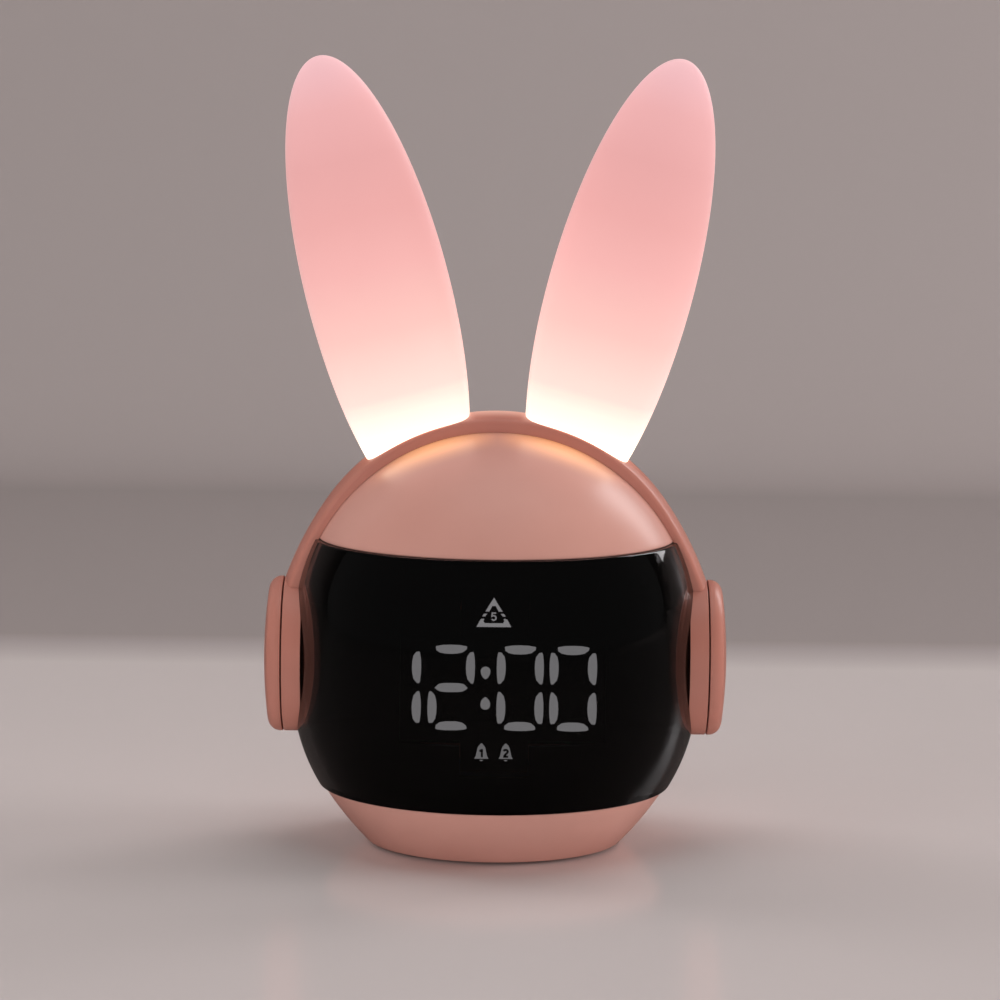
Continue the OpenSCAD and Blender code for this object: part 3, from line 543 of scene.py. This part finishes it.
def makeShells():
    floorZ = body["footGap"] + body["plateThickness"]
    floorTop = floorZ + body["floor"]
    seat = lens["thickness"] + contact
    inner = seat + lens["backing"]
    crown = bodyPath(0, 200, lens["high"] + contact)
    crown[0] = (0, crown[0][1])
    crown[-1] += (body["crownLip"],)
    recess = bodyPath(seat, lens["high"] + contact, lens["low"] - contact)
    base = bodyPath(0, lens["low"] - contact, body["footGap"])
    base[0] += (body["baseLip"],)
    base[-1] += (body["footRound"],)
    floor = [(body["plateRadius"], body["footGap"]), (body["plateRadius"], floorZ),
             (body["floorHole"], floorZ), (body["floorHole"], floorTop)]
    inside = list(reversed(bodyPath(body["wall"], lens["low"] - body["wall"], floorTop)))
    inside += list(reversed(bodyPath(inner, lens["high"] + body["wall"], lens["low"] - body["wall"])))
    inside += list(reversed(bodyPath(body["wall"], 200, lens["high"] + body["wall"])))
    inside[-1] = (0, inside[-1][1])
    path = rounded(crown + recess + base + floor + inside)
    front = carved(spun(path, -math.pi, body["steps"], closed=False),
                   plugHoles() + cupHoles() + [displayWindow()])
    shell = newPiece("frontShell", front, [shellAbs, blackInk], "case", ["front_shell"])
    # the recess behind the lens is printed black
    for face in shell.data.polygons:
        middle = face.center / mm
        behind = lens["low"] < middle.z < lens["high"] and middle.y < -1
        face.material_index = 1 if behind else 0

    outline = bodyPath(0, 200, body["footGap"])
    outline[0] = (0, outline[0][1])
    outline[-1] += (body["footRound"],)
    outline += [(body["plateRadius"], body["footGap"]), (body["plateRadius"], floorZ), (0, floorZ)]
    rear = spun(rounded(outline), math.pi, body["steps"], closed=False)
    roundBack(rear)
    hollowPath = bodyPath(body["wall"], 200, floorTop)
    hollowPath[0] = (0, hollowPath[0][1])
    hollow = spun(hollowPath + [(0, floorTop)], closed=False)
    flat(hollow, body["backY"] - body["backWall"])
    opening = rod(body["floorHole"], floorZ - 1, floorTop + 1, Matrix.Identity(4))
    cutters = [hollow, opening] + plugHoles() + cupHoles() + rearOpenings()
    newPiece("rearShell", carved(rear, cutters), shellAbs, "case", ["rear_shell"])


def roundBack(bm):
    # a bevel would run over the small faces beside it, so the back is cut early and inset in steps
    slope, steps = math.radians(body["rimSlope"]), 8
    angles = [slope * (1 - (i + 0.5) / steps) for i in range(steps)]
    drop = body["rimReach"] * math.sin(slope)
    length = drop / sum(math.sin(a) for a in angles)
    flat(bm, body["backY"] - drop)
    # edges shorter than this would cross over in the insets
    rim = rearmost(bm).verts[:]
    bmesh.ops.remove_doubles(bm, verts=rim, dist=body["rimMerge"] * mm)
    cap = rearmost(bm)
    for a in angles:
        bmesh.ops.inset_region(bm, faces=[cap], thickness=length * math.cos(a) * mm,
                               depth=length * math.sin(a) * mm, use_boundary=True,
                               use_even_offset=True)


def rearmost(bm):
    return max(bm.faces, key=lambda face: face.calc_center_median().y)


def flat(bm, y):
    # cuts everything behind a plane and closes the cut
    bmesh.ops.bisect_plane(bm, geom=bm.verts[:] + bm.edges[:] + bm.faces[:], dist=1e-7,
                           plane_co=(0, y * mm, 0), plane_no=(0, 1, 0), clear_outer=True)
    bmesh.ops.holes_fill(bm, edges=[e for e in bm.edges if e.is_boundary], sides=0)
    bmesh.ops.recalc_face_normals(bm, faces=bm.faces)


def makeLens():
    outer = bodyPath(-lens["proud"], lens["high"], lens["low"])
    outer[0] += (lens["round"],)
    outer[-1] += (lens["round"],)
    # the rounds need a straight run, so the points within them go
    reach = lens["round"] * 1.3
    outer = [outer[0]] + [p for p in outer[1:-1] if math.dist(p[:2], outer[0][:2]) > reach
                          and math.dist(p[:2], outer[-1][:2]) > reach] + [outer[-1]]
    inner = list(reversed(bodyPath(lens["thickness"], lens["high"], lens["low"])))
    bm = spun(rounded(outer + inner, 8), -math.pi, 160)
    ends = [e for e in bm.edges if all(abs(v.co.y) < 1e-7 for v in e.verts)]
    bmesh.ops.bevel(bm, geom=ends, offset=lens["edgeRound"] * mm, segments=3, profile=0.5,
                    affect="EDGES", material=-1)
    bm = carved(bm, [rod(lens["notch"], lens["notchFrom"], lens["notchTo"], sideways(side))
                     for side in (-1, 1)])
    newPiece("lens", bm, lensPmma, "case", ["front_lens"])


# headband, cups and ears

def clearance():
    # the body and its lens, grown by the contact gap
    return [bodySolid(-contact),
            bodySolid(-lens["proud"] - contact, -math.pi, lens["high"] + contact, lens["low"])]


def makeHeadband():
    cutters = clearance() + plugHoles()
    cutters += [rod(cups["radius"] + contact, cups["sawFrom"], cups["sawTo"], sideways(side), 160)
                for side in (-1, 1)]
    arch = carved(bandSolid(), cutters)
    low = [v for v in arch.verts if v.co.z < cups["z"] * mm]
    bmesh.ops.delete(arch, geom=low, context="VERTS")
    newPiece("headbandArch", arch, shadedPinkAbs, "case", ["headband"], sharp=28)


def makeCups():
    ringOut = cups["x"] + cups["ring"]
    capX = ringOut + cups["gap"]
    radius = cups["radius"]
    bore, stem, spigot = cups["stem"] + fit, cups["stem"], cups["spigot"]
    faceIn, hollow = ringOut - cups["face"], radius - body["wall"]
    ringPath = [(bore, ringOut), (radius, ringOut, cups["edge"]), (radius, cups["x"]),
                (hollow, cups["x"]), (hollow, faceIn), (spigot, faceIn), (spigot, cups["spigotIn"]),
                (bore, cups["spigotIn"])]

    top = capX + cups["cap"]
    edge = radius - cups["round"]
    slope = 2 * cups["crown"] / edge
    corner = top - cups["crown"] - (radius - edge) * slope
    dome = [(radius, capX, cups["edge"]), (radius, corner, cups["round"])]
    dome += [(edge * (1 - i / 12), top - cups["crown"] * (1 - i / 12) ** 2) for i in range(12)]
    roof = top - cups["crown"] - cups["roof"]
    boss, bossEnd, stemEnd = stem + cups["boss"], roof - cups["bossHeight"], cups["x"] - cups["stemIn"]
    under = [(0, stemEnd), (stem, stemEnd, cups["stemRound"]), (stem, bossEnd), (boss, bossEnd),
             (boss, roof), (edge, roof), (edge, capX)]
    capPath = [(0, top)] + list(reversed(dome)) + list(reversed(under))

    for side, label in ((-1, "left"), (1, "right")):
        ring = carved(turned(spun(rounded(ringPath)), sideways(side)), clearance())
        newPiece(label + "CupRing", ring, shadedPinkAbs, "case", [label + "_cup_ring"])
        cap = turned(spun(rounded(capPath, 10), closed=False), sideways(side))
        newPiece(label + "CupButton", cap, shadedPinkAbs, label + "_cup", [label + "_cup_button"])


def makeEars():
    for side, label in ((-1, "left"), (1, "right")):
        place = earMatrix(side)
        oval = carved(earOval(0, place), [bandSolid(contact, ears["cutReach"])])
        plug = rod(ears["plug"], -ears["plugEnd"], ears["plugInto"] - ears["cross"], place)
        oval = carved(oval, [plug], "UNION")
        cavity = carved(earOval(ears["wall"], place), [bandSolid(ears["floor"], ears["cutReach"])])
        bore = rod(ears["plug"] - ears["plugWall"], -ears["plugEnd"] - 1,
                   ears["boreInto"] - ears["cross"], place)
        oval = carved(oval, [cavity, bore])
        newPiece(label + "Ear", oval, earSilicone, "case", [label + "_ear"], sharp=40)


def earOval(inset, place):
    bm = bmesh.new()
    bmesh.ops.create_uvsphere(bm, u_segments=96, v_segments=80, radius=1.0)
    for v in bm.verts:
        # towards the foot the oval section fills out to the width of the band
        low = min(1, max(0, (ears["footFrom"] - v.co.z) / ears["footRun"]))
        low = low * low * (3 - 2 * low)
        reach = math.hypot(v.co.x, v.co.y)
        if low and reach > 1e-6:
            power = 1 - (1 - 2 / ears["footPower"]) * low
            for axis in (0, 1):
                share = v.co[axis] / reach
                v.co[axis] = math.copysign(reach * abs(share) ** power, share)
            v.co.y *= 1 + ears["footDeep"] * low
    half = [(ears[name] / 2 - inset) * mm for name in ("width", "thickness", "length")]
    return turned(bm, place @ Matrix.Diagonal((*half, 1)))


# display

display = {"x": -2.2, "z": 44.8, "y": 38.612, "proud": 0.03, "depth": 0.95,
           "halfWidth": 4.49, "halfHeight": 9.2, "segmentGap": 0.17,
           "segment": (2.13, 7.5), "bar": (2.07, 7.35), "middle": (2.05, 7.85),
           "digits": [("bc", -20.75), ("abged", -8.07), ("abcdef", 8.18), ("abcdef", 20.65)],
           "dots": (-3.7, 3.68), "dotSize": (1.15, 1.1), "dotPoint": 1.75, "dotWaist": 0.25,
           "dotRise": 0.4, "frame": (-20.0, 28.2, -12.6, 12.8), "iconFrame": (8.0, -20.1, 24.3),
           "windowGap": 0.12, "windowCut": (-70, -30)}
signs = {"triangle": (-0.35, 14.7), "five": (1.96, 0.32), "fiveUp": 1.5,
         "bells": (-3.0, 2.75), "bellUp": -17.6, "clapper": (0.42, 0.3), "clapperUp": 0.33,
         "number": (1.95, 0.5), "numberUp": 0.95, "numberInk": (0.09, 0.035)}
segmentShape = [(0.42, 0.985), (0.80, 1.0), (0.90, 0.94), (0.985, 0.72), (1.0, 0.5), (0.98, 0.3),
                (0.89, 0.06), (0.78, 0.0), (0.55, 0.012), (0.18, 0.14), (0.04, 0.32), (0.0, 0.5),
                (0.03, 0.70), (0.15, 0.87)]
middleShape = [(-0.5, 0.0), (-0.43, 0.24), (-0.34, 0.42), (-0.2, 0.49), (0.0, 0.5), (0.2, 0.49),
               (0.34, 0.42), (0.43, 0.24), (0.5, 0.0)]
bellShape = [(0.0, 4.12), (0.3, 3.96), (0.46, 3.66), (0.76, 3.36), (0.98, 2.8), (1.14, 2.0),
             (1.3, 1.3), (1.5, 0.95), (1.7, 0.6)]
apexShape = [(0, 6.85), (2.03, 3.68), (1.1, 3.68), (0.4, 5.0), (-0.4, 5.0), (-1.1, 3.68),
             (-2.03, 3.68)]
baseShape = [(-4.1, 0), (4.1, 0), (3.15, 1.8), (2.3, 1.8), (2.52, 1.3), (2.2, 0.9), (-2.2, 0.9),
             (-2.52, 1.3), (-2.3, 1.8), (-3.15, 1.8)]
dashShape = [(1.57, 3.15), (2.1, 2.5), (2.78, 2.5), (2.35, 3.15)]


def displayWindow():
    x, z, gap = display["x"], display["z"], display["windowGap"]
    x0, x1, z0, z1 = display["frame"]
    half, low, high = display["iconFrame"]
    left, right, bottom, top = x + x0 - gap, x + x1 + gap, z + z0 - gap, z + z1 + gap
    inner, below, above = half + gap, z + low - gap, z + high + gap
    cross = [(left, bottom), (-inner, bottom), (-inner, below), (inner, below), (inner, bottom),
             (right, bottom), (right, top), (inner, top), (inner, above), (-inner, above),
             (-inner, top), (left, top)]
    return plate(cross, *display["windowCut"])


def digitOutlines(letters, centre):
    width, length = display["segment"]
    lift = display["halfHeight"] / 2 + display["segmentGap"]
    upright = [((u - 0.5) * width + display["halfWidth"], (v - 0.5) * length) for u, v in segmentShape]
    barT, barL = display["bar"]
    flatBar = [((0.5 - v) * barL, (u - 0.5) * barT + display["halfHeight"]) for u, v in segmentShape]
    midT, midL = display["middle"]
    middle = [(u * midL, v * midT) for u, v in middleShape]
    middle += [(u * midL, -v * midT) for u, v in middleShape[-2:0:-1]]
    choices = {"a": flatBar, "d": [(x, -z) for x, z in flatBar], "g": middle,
               "b": [(x, z + lift) for x, z in upright], "c": [(x, -z - lift) for x, z in upright],
               "f": [(-x, z + lift) for x, z in upright], "e": [(-x, -z - lift) for x, z in upright]}
    return [shifted(choices[letter], centre, display["z"]) for letter in letters]


def dropOutline(turn):
    # colon dot: round away from its partner, pointed towards it
    halfWidth, halfHeight = display["dotSize"]
    points = []
    for i in range(24):
        a = 2 * math.pi * i / 24
        stretch = display["dotPoint"] if math.sin(a) < 0 else 1.0
        narrow = 1 - display["dotWaist"] * max(0, -math.sin(a)) ** 2
        points.append((halfWidth * math.cos(a) * narrow,
                       turn * (halfHeight * math.sin(a) * stretch + display["dotRise"])))
    return points


def sheetOf(outlines, y0, y1):
    return joined([plate(outline, y0, y1) for outline in outlines])


# pen strokes of the numerals, in parts of their height
numerals = {"1": [[(-0.24, 0.72), (0.04, 0.9)], [(0.06, 1.0), (0.06, 0.0)]],
            "2": [[(0.26 * math.cos(math.radians(a)) - 0.01, 0.72 + 0.2 * math.sin(math.radians(a)))
                   for a in range(165, -31, -15)] + [(-0.22, 0.12)], [(-0.3, 0.09), (0.3, 0.09)]],
            "5": [[(0.26, 0.93), (-0.2, 0.93), (-0.24, 0.54)]
                  + [(0.27 * math.cos(math.radians(a)) - 0.02, 0.34 + 0.27 * math.sin(math.radians(a)))
                     for a in range(105, -151, -15)]]}


def strokeOutline(points, width):
    # closed outline of a pen stroke, mitred at its corners
    left, right = [], []
    for i, point in enumerate(points):
        here = Vector(point)
        into = (here - Vector(points[i - 1])).normalized() if i else None
        out = (Vector(points[i + 1]) - here).normalized() if i + 1 < len(points) else into
        into = into or out
        along = (into + out).normalized()
        side = Vector((-along.y, along.x)) * (width / 2 / max(0.5, along.dot(out)))
        left.append(here + side)
        right.append(here - side)
    return left + right[::-1]


def numeral(character, height, weight, x, z, y0, y1):
    whole = None
    for stroke in numerals[character]:
        outline = strokeOutline([(px * height, pz * height) for px, pz in stroke], weight)
        part = plate(shifted(outline, x, z), y0, y1)
        whole = carved(whole, [part], "UNION") if whole else part
    return whole


def makeDisplay():
    face = -display["y"]
    front, behind = face - display["proud"], face + display["depth"]
    outlines = []
    for letters, offset in display["digits"]:
        outlines += digitOutlines(letters, display["x"] + offset)
    for turn, rise in zip((-1, 1), display["dots"]):
        outlines.append(shifted(dropOutline(turn), display["x"], display["z"] + rise))
    newPiece("timeDigits", sheetOf(outlines, front, behind), digitResin, "case",
             ["display_segments"], sharp=20)

    x, z = signs["triangle"][0], display["z"] + signs["triangle"][1]
    shapes = [shifted(shape, x, z) for shape in (apexShape, baseShape, dashShape, mirrored(dashShape))]
    five = numeral("5", *signs["five"], x, z + signs["fiveUp"], front, behind)
    newPiece("displaySigns", joined([sheetOf(shapes, front, behind), five]), signResin, "case",
             ["display_icons"], sharp=20)

    z = display["z"] + signs["bellUp"]
    halfWidth, depth = signs["clapper"]
    clapper = [(halfWidth * math.cos(math.pi * i / 8), -depth * math.sin(math.pi * i / 8))
               for i in range(9)]
    shapes, marks = [], []
    for text, x in zip("12", signs["bells"]):
        shapes.append(shifted(bellShape + mirrored(bellShape[1:]), x, z))
        shapes.append(shifted(clapper, x, z + signs["clapperUp"]))
        marks.append(numeral(text, *signs["number"], x, z + signs["numberUp"],
                             *[face - ink for ink in signs["numberInk"]]))
    newPiece("displayBells", sheetOf(shapes, front, behind), bellResin, "case",
             ["display_icons"], sharp=20)
    newPiece("bellNumbers", joined(marks), blackInk, "case", sharp=20)


# back of the clock

back = {"panel": (36.0, 54.0), "panelZ": 48.0, "panelGap": 0.1, "recess": 1.0, "buttonDx": 11.0,
        "rowA": 44.5, "rowB": 35.0, "buttonRadius": 3.2, "buttonGap": 0.3, "speakerZ": 62.5,
        "grille": 8.6, "slot": (8.2, 4.0), "usb": (8.9, 3.2), "usbZ": 26.4, "usbGap": 0.2,
        "screwX": 29.0, "screwZ": (22.0, 70.0), "headRadius": 2.9, "headY": 12.0, "screwCut": 60,
        "panelEdge": 0.18, "keyEdge": 0.45, "knobEdge": 0.3, "usbEdge": 0.08, "plateEdge": 0.25,
        "footEdge": 0.2}
buttons = {"set": (-1, "rowA"), "alarm": (0, "rowA"), "up": (1, "rowA"), "down": (-1, "rowB"),
           "light": (1, "rowB")}


def alongY(x, z):
    return Matrix.Translation((x * mm, 0, z * mm)) @ Matrix.Rotation(-math.pi / 2, 4, "X")


def stadium(width, height, x, z, flatWay=False):
    # round ends up and down, or left and right when flatWay is set
    radius, straight, points = width / 2, (height - width) / 2, []
    for end in (1, -1):
        for i in range(25):
            a = math.pi * i / 24
            points.append((radius * math.cos(a) * end, end * (straight + radius * math.sin(a))))
    if flatWay:
        points = [(pz, -px) for px, pz in points]
    return shifted(points, x, z)


def rearOpenings():
    # panel recess, loudspeaker, knob slot, socket, keys and screws
    recessY, wallY = body["backY"] - back["recess"], body["backY"] - body["backWall"] - 1
    pastBack = body["backY"] + 5
    width, height = [size + 2 * back["panelGap"] for size in back["panel"]]
    usbWidth, usbHeight = [size + 2 * back["usbGap"] for size in back["usb"]]
    right, up = [size / 2 for size in back["slot"]]
    slot = shifted([(-right, -up), (right, -up), (right, up), (-right, up)], 0, back["rowB"])
    cuts = [plate(stadium(width, height, 0, back["panelZ"]), recessY, pastBack),
            rod(back["grille"], wallY, pastBack, alongY(0, back["speakerZ"])),
            plate(slot, wallY, pastBack),
            plate(stadium(usbHeight, usbWidth, 0, back["usbZ"], True), wallY, pastBack)]
    for column, row in buttons.values():
        cuts.append(rod(back["buttonRadius"] + back["buttonGap"], wallY, pastBack,
                        alongY(column * back["buttonDx"], back[row])))
    for side in (-1, 1):
        for z in back["screwZ"]:
            cuts.append(rod(back["headRadius"], back["headY"], back["screwCut"],
                            alongY(side * back["screwX"], z)))
    return cuts


def makeBack():
    newPiece("controlPanel", softened("control_panel", back["panelEdge"]), shadedPinkAbs, "case",
             ["control_panel"], sharp=40)
    for name in buttons:
        key = softened(name + "_button", back["keyEdge"], 4)
        newPiece(name + "Button", key, keySilicone, name + "_key", [name + "_button"],
                 sharp=50)
    newPiece("powerKnob", softened("power_switch", back["knobEdge"], 3), keySilicone, "power_knob",
             ["power_switch"], sharp=50)
    newPiece("usbSocket", softened("usb_socket", back["usbEdge"]), nickel, "case",
             ["usb_socket"], sharp=40)
    newPiece("basePlate", softened("base_plate", back["plateEdge"]), shellAbs, "case",
             ["base_plate"], sharp=40)
    newPiece("footPad", softened("rubber_foot", back["footEdge"]), footRubber, "case",
             ["rubber_foot"], sharp=50)


carriedOver = {
    boardGreen: ["left_cup_switch", "right_cup_switch", "display_board", "main_board"],
    blackInk: ["display_frame"],
    blackAbs: ["tact_switches", "processor", "speaker", "battery_holder"],
    nickel: ["slide_switch", "battery_contacts"],
    zinc: ["case_screws", "base_screws", "display_screws", "board_screws"],
    foam: ["speaker_gasket"],
    keySilicone: ["left_ear_clip", "right_ear_clip", "left_ear_light", "right_ear_light"],
    sleevePvc: ["battery_cell"],
}


def dressNodes():
    # the nodes inside keep their shapes and get these finishes
    for material, nodes in carriedOver.items():
        for name in nodes:
            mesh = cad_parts[name].data
            mesh.materials.clear()
            mesh.materials.append(material)


makeShells()
print("shells ready")
makeLens()
print("lens ready")
makeHeadband()
makeCups()
print("headband and cups ready")
makeEars()
print("ears ready")
makeDisplay()
print("display ready")
makeBack()
dressNodes()
print("back ready")


# studio

studio = {"floor": "d3c8c6", "width": 3.0, "front": -4.0, "bend": 0.75, "bendRadius": 0.5,
          "height": 2.2, "wall": "a59a98", "edge": (270, 330), "paintedBounce": "fffaf8", "shade": "4a4442",
          "gloss": {"Roughness": 0.16, "IOR": 1.45, "Specular IOR Level": 0.2},
          "sky": (0.92, 0.88, 0.87, 1), "world": 0.06, "far": 0.3}
lamps = {"windowLight": {"place": (1.07, 1.15, 0.94), "aim": 0.09, "size": (0.8, 1.0), "power": 9.7,
                         "tint": (1.0, 0.97, 0.98)},
         "topLight": {"place": (0.05, 0.05, 1.15), "aim": 0.09, "size": (0.9, 0.9), "power": 5.2},
         "leftLight": {"place": (-1.52, -1.2, 0.91), "aim": 0.09, "size": (1.0, 1.4), "power": 7.4},
         "rightLight": {"place": (2.2, 0.2, 0.6), "aim": 0.05, "size": (1.0, 1.0), "power": 24.0},
         "rearLight": {"place": (-1.6, 1.05, 1.3), "aim": 0.09, "size": (1.0, 1.4), "power": 15.0},
         "fillLight": {"place": (0, -2.6, 0.42), "aim": 0.05, "size": (2.4, 0.6), "power": 24.0}}


def makeSweep():
    # floor and backdrop in one piece, with a round bend between them
    bm = bmesh.new()
    points = [(studio["front"], 0)]
    for i in range(25):
        a = math.pi / 2 * i / 24
        points.append((studio["bend"] + studio["bendRadius"] * math.sin(a),
                       studio["bendRadius"] * (1 - math.cos(a))))
    points.append((studio["bend"] + studio["bendRadius"], studio["height"]))
    line = [bm.verts.new((-studio["width"], y, z)) for y, z in points]
    edges = [bm.edges.new(pair) for pair in zip(line, line[1:])]
    grown = bmesh.ops.extrude_edge_only(bm, edges=edges)
    bmesh.ops.translate(bm, vec=(2 * studio["width"], 0, 0),
                        verts=[v for v in grown["geom"] if isinstance(v, bmesh.types.BMVert)])
    mesh = bpy.data.meshes.new("sweep")
    bm.to_mesh(mesh)
    bm.free()
    mesh.shade_smooth()
    material, tree, shader, place = newMaterial("studio board", studio["gloss"])
    soft = noise(tree, place, 60, 2)
    colour = linear(studio["floor"])
    seen = mixed(tree, spread(tree, soft, 0, 1), [c * 0.99 for c in colour[:3]] + [1.0], colour)
    depth = addNode(tree, "ShaderNodeSeparateXYZ", links={"Vector": place})
    far = spread(tree, depth.outputs["Y"], 0, 1, studio["edge"][0] * mm, studio["edge"][1] * mm)
    seen = addNode(tree, "ShaderNodeMixRGB", {"Color2": linear(studio["wall"])},
                   {"Fac": far, "Color1": seen}).outputs["Color"]
    # painted bounce light: a paler board for the light it throws back; painted shade: a darker board
    # in the gloss of the lens
    path = addNode(tree, "ShaderNodeLightPath")
    for ray, tone in (("Is Diffuse Ray", studio["paintedBounce"]), ("Is Glossy Ray", studio["shade"])):
        choice = addNode(tree, "ShaderNodeMixRGB", {"Color2": linear(tone)},
                         {"Fac": path.outputs[ray], "Color1": seen})
        seen = choice.outputs["Color"]
    tree.links.new(seen, shader.inputs["Base Color"])
    mesh.materials.append(material)
    sweep = bpy.data.objects.new("sweep", mesh)
    bpy.context.scene.collection.objects.link(sweep)


def areaLight(name, values):
    data = bpy.data.lights.new(name, "AREA")
    data.shape = "RECTANGLE"
    data.size, data.size_y = values["size"]
    data.energy = values["power"]
    data.color = values.get("tint", (1, 1, 1))
    lamp = bpy.data.objects.new(name, data)
    lamp.location = values["place"]
    aim = Vector((0, 0, values["aim"])) - Vector(values["place"])
    lamp.rotation_euler = aim.to_track_quat("-Z", "Y").to_euler()
    lamp.visible_camera = False
    bpy.context.scene.collection.objects.link(lamp)
    return lamp


def makeStudio():
    makeSweep()
    for name, values in lamps.items():
        lamp = areaLight(name, values)
        # the polished lens would show the other lamps themselves
        if name != "windowLight":
            lamp.visible_glossy = False
            lamp.visible_transmission = False
    world = bpy.data.worlds.new("studio")
    bpy.context.scene.world = world
    world.use_nodes = True
    tree = world.node_tree
    shade = tree.nodes["Background"]
    shade.inputs["Color"].default_value = studio["sky"]
    # pale where the camera looks past the backdrop, dim as a light
    path = addNode(tree, "ShaderNodeLightPath")
    level = spread(tree, path.outputs["Is Camera Ray"], studio["world"], studio["far"], 0, 1)
    tree.links.new(level, shade.inputs["Strength"])


camera = {"place": (0.0008, -0.941, 0.1961), "down": 6.70, "roll": 0.59, "lens": 137.3}


def makeCamera():
    data = bpy.data.cameras.new("camera")
    data.lens = camera["lens"]
    data.sensor_width = 36
    data.clip_start = 0.01
    shooter = bpy.data.objects.new("camera", data)
    shooter.location = camera["place"]
    tilt = Matrix.Rotation(math.radians(90 - camera["down"]), 4, "X")
    shooter.rotation_euler = (tilt @ Matrix.Rotation(math.radians(camera["roll"]), 4, "Z")).to_euler()
    bpy.context.scene.collection.objects.link(shooter)
    bpy.context.scene.camera = shooter


makeStudio()
makeCamera()
bpy.context.scene.view_settings.view_transform = "Standard"
print("studio ready")
